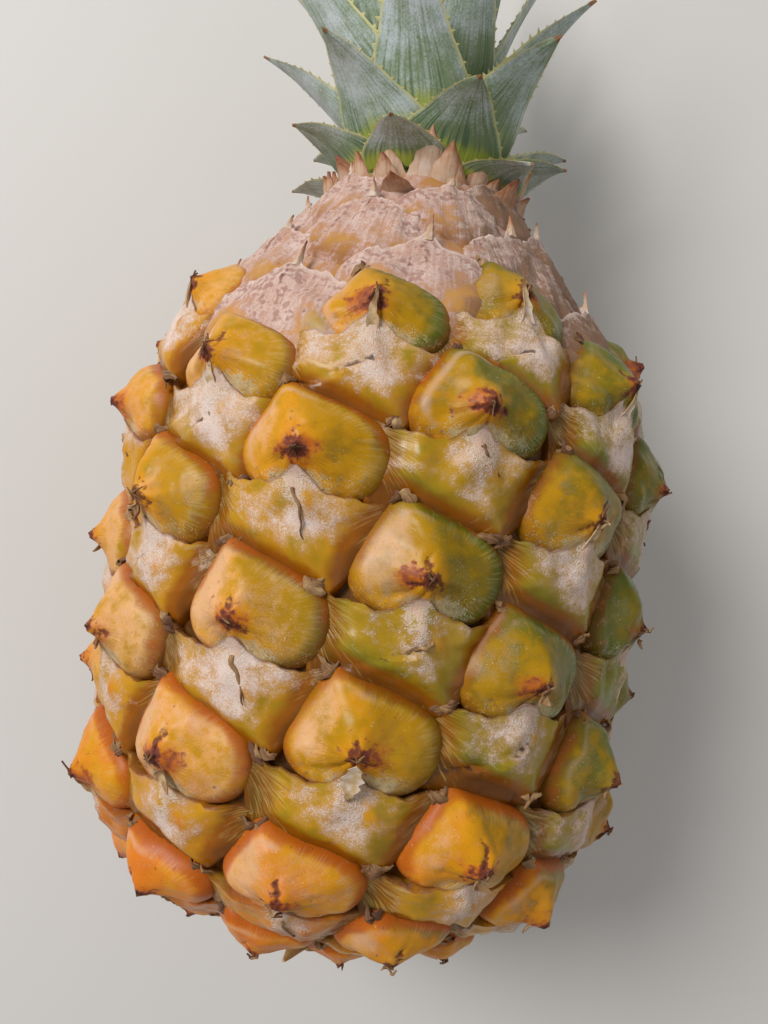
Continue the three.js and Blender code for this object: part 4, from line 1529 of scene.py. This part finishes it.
@dataclass
class Shoulder(SubAssembly):
    """The cone over the eyes: low dusty bracts with small spines, and dry tips round the neck."""

    scale: ShoulderScale = field(default_factory=ShoulderScale)
    first: int = 42
    last: int = 66
    columns: int = 37
    rows: int = 22
    cone_low_z: float = 95.0
    cone_rings: int = 30
    cone_sides: int = 120
    ring_tips: int = 13
    ring_angles: tuple[float, ...] = (math.radians(14.8), math.radians(-22.0), math.radians(2.0))
    ring_heights: tuple[float, ...] = (108.8, 111.0, 112.8)
    spine_thickness_mm: float = 0.3
    tip_thickness_mm: float = 0.5
    tip_length_mm: float = 9.4

    def build(self) -> Object:
        """Builds the cone, its scales, their spines and the neck's tips.

        Returns:
            All of them as one piece.
        """
        shells = [self.cone(), self.scales(), self.spines()]
        shells += [self.tips(ring) for ring in range(len(self.ring_angles))]
        finishes = [Finish.SHOULDER, Finish.NECK]
        return make_piece("shoulder_skin", shells, finishes, "shoulder_bracts", "shoulder_bracts")

    def base_stand(self, rise: Array) -> Array:
        """The cone's own height out of the groove, which grows to half of its depth at the top."""
        low, high = self.form.rise_at(self.form.rows_end_z), self.form.rise_at(self.form.shoulder_top_z)
        return self.form.groove / 2 * np.clip((rise - low) / (high - low), 0, 1)

    def cone(self) -> Shell:
        """The turned cone under the scales.

        Returns:
            Its shell.
        """
        low, high = self.form.rise_at(self.cone_low_z), self.form.rise_at(self.form.shoulder_top_z)
        rise = np.linspace(low, high, self.cone_rings)
        turn = turns(self.cone_sides)
        stand = self.base_stand(rise)[:, None] + 0.02 + 0.006 * np.sin(14 * turn[None] + 30 * rise[:, None])
        points = self.form.skin(turn[None, None], rise[None, :, None], stand[None])
        # Painted shade over half of the cone, which lies under the scales.
        masks = {"ripe": 0.5, "bloom": 0.4, "valley": 0.5}
        return loft(self.pose.place(points), masks)

    def numbers(self) -> Array:
        """The places of the shoulder's scales in the same spiral as the eyes."""
        return np.arange(self.first, self.last + 1)

    def laid(self, numbers: Array, across: Array, up: Array, stand: Array) -> Array:
        """Places beside the scales as laid points, over the cone's own height.

        Args:
            numbers: of the scales.
            across: places across from each.
            up: places up from each.
            stand: heights over the cone.

        Returns:
            Points in metres.
        """
        shape = (-1,) + (1,) * (np.ndim(across) - 1)
        angle = self.form.eye_angle(numbers).reshape(shape) + across
        rise = self.form.eye_rise(numbers).reshape(shape) + up
        return self.pose.place(self.form.skin(angle, rise, self.base_stand(rise) + stand))

    def outlines(self, side: Array, numbers: Array) -> tuple[Array, Array]:
        """The upper and lower edges of the scales, in shares up from their eyes' places.

        The upper edge is a low arch with a point, and the lower one a wide V with a rounded foot.

        Args:
            side: from -1 to 1 across a scale.
            numbers: of the scales, shaped to match.

        Returns:
            Both edges.
        """
        scale = self.scale
        point = scale.point * hill(side, 0, 0.12) * spread(numbers, 80, 0.7, 1.3)
        wander = 0.008 * np.sin(11 * side + numbers) + 0.004 * np.sin(29 * side + 2 * numbers)
        top = scale.above - 0.11 * np.abs(side) ** 1.7 + point + wander
        foot = np.hypot(side - 0.15, 0.25) - 0.25
        bottom = scale.above - scale.length + 0.16 * foot
        return top, np.minimum(bottom, top - 0.02)

    def scales(self) -> Shell:
        """The low bracts: wedges that are highest at a pointed top edge and merge below.

        Height is rise (1 - side squared) falling downwards, with a ridge along the middle and two lobes
        beside the foot, which reach down between the eyes.

        Returns:
            A shell with all scales.
        """
        numbers = self.numbers()
        scale = self.scale
        n = numbers[:, None, None]
        side = np.linspace(-LAST_SECTION, LAST_SECTION, self.columns)[None, :, None]
        over = np.linspace(0, 1, self.rows) ** 1.25
        below = len(over)
        down = np.concatenate([over, [0.97, 0.5, 0.0]])[None, None]
        shape = (len(numbers), self.columns, down.shape[2])
        side, down = np.broadcast_to(side, shape), np.broadcast_to(down, shape)
        top, bottom = self.outlines(side, n)
        across = scale.half_width * spread(n, 81, 0.95, 1.06) * side
        up = top * (1 - down) + bottom * down
        ridge = 0.02 * np.exp(-np.hypot(side, 0.05) / 0.1) * (1 - down) ** 1.5
        lobes = 0.02 * hill(down, 0.5, 0.28) * (hill(side, -0.5, 0.26) + hill(side, 0.5, 0.26))
        lumps = 0.016 * uneven(across, up, n, 0.15) + 0.01 * uneven(across, up, n + 0.5, 0.05)
        stand = 0.026 + scale.rise * (1 - side**2) * (1 - down) ** 0.8 + ridge + lobes + lumps
        stand = stand - 0.04 * smooth(np.abs(side), 0.85, 1) - 0.05 * smooth(down, 0.88, 1)
        stand[:, :, below:] = HIDDEN_STAND
        stand[:, :, -1] = stand[:, :, 0] - scale.edge_thickness
        lobe = hill(down, 0.5, 0.25) * (hill(side, -0.5, 0.25) + hill(side, 0.5, 0.25))
        right = np.sin(self.form.eye_angle(n) + across)
        lowest = 1 - smooth(n, self.first + 4, self.first + 11)
        creases = smooth(uneven(across, 0.3 * up, n + 0.2, 0.07), 0.45, 0.75)
        masks = {
            "ripe": spread(n, 83, 0, 0.4) + 0.8 * lobe * lowest,
            "green": 0.5 * lobe * chance(n, 84) + 0.1 * smooth(-up, 0.25, 0.4),
            "shade": smooth(right, -0.1, 0.65) * 1.4,
            # Painted shade on the scales' lower parts and at their sides, where they meet.
            "valley": 0.9 * smooth(down, 0.5, 0.9) + 0.5 * smooth(np.abs(side), 0.8, 1),
            "bloom": 0.95 - 0.6 * smooth(down, 0.25, 0.8) - 0.85 * lobe * lowest
            - 0.4 * smooth(right, 0, 0.7) + spread(n, 85, -0.2, 0.15),
            "edge": 1 - smooth(down, 0, 0.08),
            "fold": 0.7 * hill(side, 0.03 * np.sin(9 * down + n), 0.035) * (1 - smooth(down, 0.2, 0.5))
            + 0.55 * creases * (1 - smooth(down, 0.6, 0.9)),
        }
        grain = np.stack(np.broadcast_arrays(9 * side, 4 * n, 1.2 * up), -1)
        return loft(self.laid(numbers, across, up, stand), masks, grain)

    def spines(self) -> Shell:
        """A short dry spine at the point of each scale.

        Returns:
            A shell of straps.
        """
        numbers = self.numbers()
        n = numbers[:, None]
        step = np.linspace(0, 1, 9)[None]
        across = 0.03 * spread(n, 86, -1, 1) * step
        up = self.scale.above + 0.01 + spread(n, 87, 0.07, 0.12) * step
        stand = self.scale.rise + 0.035 + spread(n, 88, 0.02, 0.07) * step
        path = self.laid(numbers, across, up, stand) / MM
        beside = self.laid(numbers, across + 0.01, up, stand) / MM
        half_width = spread(n, 89, 0.7, 1.2) * (1 - step) ** 1.3 * (1 + 0.2 * np.sin(23 * step + n)) + 0.04
        rings = strap(path, unit(beside - path), half_width, self.spine_thickness_mm, -0.8)
        grain = strap_grain(half_width, 5 * n[..., None], 0.1 * step[..., None])
        return loft(rings * MM, {"tone": (spread(n, 90, -0.7, -0.1) + 1.1 * step**1.5)[..., None]}, grain, 1)

    def tips(self, ring: int) -> Shell:
        """One ring of the dry triangular tips that stand round the neck, some of them curled out.

        Args:
            ring: from 0, the lowest.

        Returns:
            A shell of straps.
        """
        which = np.arange(self.ring_tips)
        seeds = which + 20 * ring
        angle = self.ring_angles[ring] + 2 * np.pi * which / self.ring_tips + spread(seeds, 98, -0.08, 0.08)
        out = outward(angle)[:, None]
        share = np.linspace(0, 1, 13)[None]
        step = share[..., None]
        length = (self.tip_length_mm * spread(seeds, 91, 0.7, 1.1))[:, None, None]
        lean = spread(seeds, 92, 0.1, 0.55)[:, None, None]
        foot = out * (16 - 0.6 * ring) + np.array([0, 0, self.ring_heights[ring] - 2.5])
        curl = (spread(seeds, 93, -0.6, 1) * (1 if ring == 0 else 0.4)).clip(0)[:, None, None]
        upward = np.array([0, 0, 1.0]) * (1 - 0.55 * curl * step)
        path = foot + length * step * (upward + out * (lean * 0.45 + 0.7 * curl * step))
        seed = seeds[:, None]
        ragged = 1 + 0.07 * np.sin(29 * share + seed) + 0.05 * np.sin(61 * share + 2 * seed)
        half_width = spread(seed, 94, 3.6, 4.6) * (1 - share**1.25) ** 0.95 * ragged + 0.06
        tone = spread(seeds, 95, -0.25, 0.2)[:, None, None] + 0.15 * step + 0.7 * step**5
        tone = tone + 0.45 * np.abs(STRAP_SIDES) ** 3 * step
        thick = self.tip_thickness_mm
        return self.upright_straps(path, angle, half_width, thick, -0.28, seeds, 0.5 * step, tone, 1)


@dataclass
class CutStalk(SubAssembly):
    """The stub of the stalk under the base, with dry strips that spread from it."""

    radii: tuple[float, ...] = (0.8, 3.0, 5.5, 7.8, 8.5, 8.3, 7.8, 7.6, 7.6)
    heights: tuple[float, ...] = (-2.9, -2.95, -3.0, -3.1, -3.0, -2.6, -1.9, -1.0, 1.9)
    sides: int = 64
    strips: int = 5
    first_angle: float = -0.3
    strip_start_mm: float = 5.6
    strip_length_mm: float = 13.5
    strip_thickness_mm: float = 0.4

    def build(self) -> Object:
        """Builds the stub and its strips."""
        shells = [self.stub(), self.dry_strips()]
        return make_piece("cut_stalk_skin", shells, [Finish.STALK], "stalk", "cut_stalk")

    def stub(self) -> Shell:
        """A fibrous stub: a turned waist with ribs round it and a slightly hollow cut face.

        Returns:
            Its shell.
        """
        radius, z = np.array(self.radii)[:, None], np.array(self.heights)[:, None]
        turn = turns(self.sides)
        ribs = 1 + 0.018 * np.sin(17 * turn) + 0.012 * np.sin(29 * turn + 1)
        rings = outward(turn)[None] * (radius * ribs)[..., None]
        rings[..., 2] = z + 0.06 * np.sin(11 * turn) * (radius < 8)
        grain = np.stack(np.broadcast_arrays(radius * np.cos(turn), radius * np.sin(turn), 0.1 * z), -1)
        return loft(self.pose.place(rings[None]), {"tone": 0.1}, grain[None])

    def dry_strips(self) -> Shell:
        """Dried bracts that lie out from the stub under the fruit.

        Returns:
            A shell of straps.
        """
        which = np.arange(self.strips)
        angle = self.first_angle + 2 * np.pi * which / self.strips
        out = outward(angle)[:, None]
        share = np.linspace(0, 1, 12)[None]
        step = share[..., None]
        length = (self.strip_length_mm * (0.7 + 0.4 * chance(which, 20)))[:, None, None]
        wave = 0.5 * np.sin(5 * step + 6 * chance(which, 96)[:, None, None])
        height = -1.6 + 0.14 * length * step + wave * step
        path = out * (self.strip_start_mm + length * step) + np.array([0, 0, 1.0]) * height
        half_width = 2.5 * (1 - 0.9 * share**1.5) * spread(which, 97, 0.7, 1)[:, None]
        thick = self.strip_thickness_mm
        return self.upright_straps(path, angle, half_width, thick, 0.3, which, step, -0.1, 0)


@dataclass
class Crown(SubAssembly):
    """The crown: a short stem with thirty-four spined leaves in the same spiral, in millimetres."""

    leaves: int = 34
    stem_radius: float = 13.7
    step_z: float = 0.42
    step_radius: float = 0.34
    first_z: float = 0.8
    first_angle: float = math.radians(37.4)
    length_least: float = 9.7
    length_gain: float = 67.0
    longest: int = 29
    length_power: float = 2.06
    inner_loss: float = 0.25
    lean_outer: float = math.radians(88)
    lean_fade: float = 21.5
    lean_most: float = math.radians(100)
    curve_foot: float = 0.55
    curve_gain: float = 0.95
    curve_power: float = 1.2
    width_least: float = 7.0
    width_most: float = 10.0
    width_full_at: int = 8
    width_inner_loss: float = 0.45
    foot_share: float = 0.86
    taper: float = 1.5
    most_wrap: float = 0.72
    lean_left: float = 0.26
    lean_back: float = 0.066
    lean_from: float = 14.0
    steps: int = 60
    columns: int = 13
    pieces: int = 2

    def build(self) -> list[Object]:
        """Builds the leaves with their spines, and dresses the stem.

        Returns:
            The leaves in a few pieces.
        """
        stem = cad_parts["crown_stem"]
        stem.data.materials.clear()
        stem.data.materials.append(Finish.STEM.material)
        made = []
        for part, leaves in enumerate(np.array_split(np.arange(self.leaves), self.pieces)):
            names = [f"crown_leaf_{leaf + 1:02d}" for leaf in leaves]
            shells = [self.blade(leaf) for leaf in leaves] + [self.spines(leaf) for leaf in leaves]
            name = f"crown_leaves_{part + 1}"
            made.append(make_piece(name, shells, [Finish.BLADE], "crown_leaves", *names))
        return made

    def neck_z(self) -> float:
        """The height of the crown's foot."""
        return self.form.shoulder_top_z + self.form.clearance

    def youth(self, leaf: int) -> float:
        """How far a leaf is past the longest ones, from 0 to 1."""
        return max(leaf - self.longest, 0) / (self.leaves - 1 - self.longest)

    def length(self, leaf: int) -> float:
        """A leaf's length, which grows with a power of its number and falls a little at the heart.

        Args:
            leaf: its number.

        Returns:
            The length.
        """
        place = min(leaf, self.longest) / self.longest
        grown = self.length_least + self.length_gain * place**self.length_power
        return grown * (1 - self.inner_loss * self.youth(leaf) ** 2)

    def angle(self, leaf: int, share: Array) -> Array:
        """A leaf's angle from the axis along its length: its mean times foot + gain share^power.

        Args:
            leaf: its number.
            share: shares of its length.

        Returns:
            An angle at each share.
        """
        mean = self.lean_outer * math.exp(-leaf / self.lean_fade)
        bent = mean * (self.curve_foot + self.curve_gain * share**self.curve_power)
        return np.minimum(bent, self.lean_most)

    def way(self, leaf: int) -> tuple[Array, Array, Array, Array]:
        """The way of a leaf's midrib, in even steps.

        Args:
            leaf: its number.

        Returns:
            Shares of its length, with the radius, height and angle of the midrib there.
        """
        step = self.length(leaf) / self.steps
        turns = self.angle(leaf, (np.arange(self.steps) + 0.5) / self.steps)
        radius = self.stem_radius - self.step_radius * leaf + 2 * self.form.clearance
        z = self.neck_z() + self.first_z + self.step_z * leaf
        share = np.arange(self.steps + 1) / self.steps
        radii = radius + np.concatenate([[0], np.cumsum(step * np.sin(turns))])
        heights = z + np.concatenate([[0], np.cumsum(step * np.cos(turns))])
        return share, radii, heights, self.angle(leaf, share)

    def half_width(self, leaf: int, share: Array) -> Array:
        """Half of a leaf's width: a full width with a swell near the foot, tapered as 1 - share^taper.

        Args:
            leaf: its number.
            share: shares of its length.

        Returns:
            A half width at each share.
        """
        grown = float(smooth(leaf / self.width_full_at, 0, 1))
        full = self.width_least + (self.width_most - self.width_least) * grown
        swell = self.foot_share + (1 - self.foot_share) * np.sin(np.pi * np.minimum(2 * share, 1))
        return full * (1 - self.width_inner_loss * self.youth(leaf)) * swell * (1 - share**self.taper)

    def lean(self, points: Array) -> Array:
        """Leans the crown to one side and back: the shift is hypot(height, from) - from.

        Args:
            points: standing.

        Returns:
            The leaned points.
        """
        from_z = self.lean_from
        shift = np.hypot(points[..., 2] - self.neck_z(), from_z) - from_z
        leaned = points.copy()
        leaned[..., 0] -= self.lean_left * shift
        leaned[..., 1] += self.lean_back * shift
        return leaned

    def on_bowl(self, leaf: int, index: Array, side: Array, out: Array) -> Array:
        """Points of a leaf, which lies on a bowl round the stem.

        Args:
            leaf: its number.
            index: steps along the leaf.
            side: from -1 to 1 across it.
            out: how far each point is off the midrib's surface, away from the axis.

        Returns:
            Standing points.
        """
        share, radius, z, angle = (part[index] for part in self.way(leaf))
        wrap = np.minimum(self.half_width(leaf, share) / radius, self.most_wrap)
        turn = self.first_angle - self.form.divergence * leaf + side * wrap
        ripple = 0.25 * np.sin(9 * share + 5 * side + leaf) * np.abs(side) ** 2
        away = out + ripple * np.minimum(self.length(leaf) / 40, 1)
        points = outward(turn) * (radius + away * np.cos(angle))[..., None]
        points[..., 2] = z - away * np.sin(angle)
        return points

    def blade(self, leaf: int) -> Shell:
        """One leaf: closed sections along its midrib, thick in the middle and thin at its margins.

        Args:
            leaf: its number.

        Returns:
            Its shell.
        """
        rows = np.unique(np.round(self.steps * np.linspace(0, 1, 34) ** 0.9).astype(int))[:, None]
        side = np.linspace(-1, 1, self.columns)
        side = np.concatenate([side, side[-2:0:-1]])[None]
        front = np.arange(side.shape[1]) < self.columns
        share = rows / self.steps
        length = self.length(leaf)
        thick = max(0.75, length / 95) * (1 - 0.35 * share)
        keel = 0.35 + 0.65 * (1 - side**2)
        channel = 0.9 * (1 - side**2) * np.minimum(length / 60, 1) * share * (1 - share) * 2
        out = np.where(front, thick * keel, 0.08) + channel
        points = self.on_bowl(leaf, *np.broadcast_arrays(rows, side, out))
        scurf = 0.35 * hill(share, 0.7, 0.5) + float(spread(leaf, 101, -0.12, 0.12))
        scurf = scurf + 0.05 + 0.07 * min(leaf / 16, 1)
        width = self.half_width(leaf, np.float64(0.3))
        masks = {
            "scurf": scurf - 0.25 * (1 - smooth(share, 0.1, 0.45)),
            "foot": 1 - smooth(share, 0.03, 0.36),
            "margin": smooth(np.abs(side), 0.84, 0.98),
            "burnt": smooth(share, 0.92, 0.985),
        }
        grain = np.stack(np.broadcast_arrays(side * width, 6 * leaf, 0.04 * length * share), -1)
        return loft(self.pose.place(self.lean(points))[None], masks, grain)

    def spines(self, leaf: int) -> Shell:
        """The hooked spines along both margins: small pyramids that lean to the leaf's tip.

        Args:
            leaf: its number.

        Returns:
            A shell with all of its spines.
        """
        length = self.length(leaf)
        gap = np.interp(length, [10, 70], [1.3, 2.3])
        along = np.arange(0.12 * length, 0.95 * length, gap)
        seeds = np.arange(len(along)) + 50 * leaf
        along = np.concatenate([along, along + 0.3 * gap])
        seeds = np.concatenate([seeds, seeds + 1000])
        edge = np.repeat([-1.0, 1.0], len(along) // 2)
        place = np.clip(along / length * self.steps, 0, self.steps - 2)
        index = place.astype(int)
        tall = np.interp(length, [10, 70], [0.55, 0.95]) * spread(seeds, 102, 0.75, 1.2)
        tall = tall * np.minimum(1, 3 * (1 - along / length))
        proud = np.full(len(index), 0.15)
        here = self.on_bowl(leaf, index, edge, proud)
        ahead = self.on_bowl(leaf, index + 1, edge, proud)
        inside = self.on_bowl(leaf, index, 0.9 * edge, proud)
        forward, out = unit(ahead - here), unit(here - inside)
        face = unit(np.cross(forward, out))
        tall = tall[:, None]
        foot = here - 0.12 * out
        reach, thick = 0.55 * tall * forward, 0.14 * face
        base = np.stack([foot - reach, foot + thick, foot + reach, foot - thick], 1)
        tip = (foot + (tall + 0.12) * out + 0.7 * tall * forward)[:, None]
        rings = np.stack([base, tip + 0.06 * (base - foot[:, None])], 1)
        return loft(self.pose.place(self.lean(rings)), {"margin": 1.0})


@dataclass(frozen=True)
class Studio:
    """The plain pale floor, the soft lights and the camera at the photograph's viewing angle."""

    pose: LaidPose
    focal_px: float = 754.3
    aside: float = -2.249
    below: float = 13.416
    distance: float = 123.02
    roll: float = 0.141
    tilt: float = 0.004
    aimed_z: float = 51.0
    floor_reach: float = 3.0
    lamps: tuple[tuple[str, tuple[float, float, float], float, float], ...] = (
        ("key_light", (-0.5, 0.25, 0.65), 0.4, 6.0),
        ("fill_light", (0.6, -0.2, 0.5), 0.7, 0.6),
        ("back_light", (0.1, 0.9, 0.4), 0.5, 1.0),
    )
    lit_point: tuple[float, float, float] = (0.0, 0.0, 0.04)
    surround_strength: float = 0.33

    def build(self) -> None:
        """Builds all three, and shows colours as they are, with the standard view transform."""
        bpy.context.scene.view_settings.view_transform = "Standard"
        self.camera()
        self.floor()
        self.lights()

    def camera(self) -> None:
        """Puts the camera where the photograph's lines of sight meet.

        The standing fruit's right, down and away directions are tilted and rolled, and then moved by the
        aside, below and distance, which gives a point in the camera's own right, down and forward.
        """
        flip = np.array([[1, 0, 0], [0, 0, -1], [0, 1, 0]], float)
        t, g = self.tilt, self.roll
        tilt = np.array([[1, 0, 0], [0, math.cos(t), math.sin(t)], [0, -math.sin(t), math.cos(t)]])
        roll = np.array([[math.cos(g), -math.sin(g), 0], [math.sin(g), math.cos(g), 0], [0, 0, 1]])
        seen = roll @ tilt @ flip
        middle = np.array([0, 0, self.aimed_z]) - seen.T @ np.array([self.aside, self.below, self.distance])
        right, down, forward = self.pose.turn(seen)
        matrix = Matrix.Identity(4)
        for column, axis in enumerate((right, -down, -forward, self.pose.place(middle))):
            for row in range(3):
                matrix[row][column] = float(axis[row])
        data = bpy.data.cameras.new("photo_camera")
        data.sensor_width = 36
        data.lens = self.focal_px / max(PICTURE) * data.sensor_width
        data.clip_start = 0.01
        camera = put("photo_camera", data)
        camera.matrix_world = matrix
        bpy.context.scene.camera = camera

    def floor(self) -> None:
        """A plain pale floor under the fruit."""
        mesh = bpy.data.meshes.new("floor")
        far = self.floor_reach
        mesh.from_pydata([(-far, -far, 0), (far, -far, 0), (far, far, 0), (-far, far, 0)], [], [(0, 1, 2, 3)])
        paint = Paint("matt_studio_paper")
        shader = paint.add("BsdfPrincipled", {"Base Color": colour("d6d2cc"), "Roughness": 0.9})
        mesh.materials.append(paint.finish(shader.outputs[0]))
        put("floor", mesh)

    def lights(self) -> None:
        """A large soft light from the left, weaker ones on the right and behind, and a pale surround."""
        for name, place, size, power in self.lamps:
            data = bpy.data.lights.new(name, "AREA")
            data.shape = "DISK"
            data.size = size
            data.energy = power
            light = put(name, data)
            light.location = place
            aim = Vector(self.lit_point) - light.location
            light.rotation_mode = "QUATERNION"
            light.rotation_quaternion = aim.to_track_quat("-Z", "Y")
        world = bpy.data.worlds.new("studio_surround")
        world.use_nodes = True
        background = world.node_tree.nodes["Background"]
        background.inputs["Color"].default_value = colour("e6e8ec")
        background.inputs["Strength"].default_value = self.surround_strength
        bpy.context.scene.world = world


def main() -> None:
    """Builds every sub-assembly over the frame."""
    logging.basicConfig(level=logging.INFO, format="%(message)s")
    form = FruitForm()
    pose = LaidPose.of_frame(form)
    log.info("laid shift %s mm", [round(float(value), 3) for value in pose.shift])
    FruitBody(form, pose).build()
    EyeRows(form, pose).build()
    Shoulder(form, pose).build()
    CutStalk(form, pose).build()
    Crown(form, pose).build()
    Studio(pose).build()


if __name__ == "__main__":
    main()
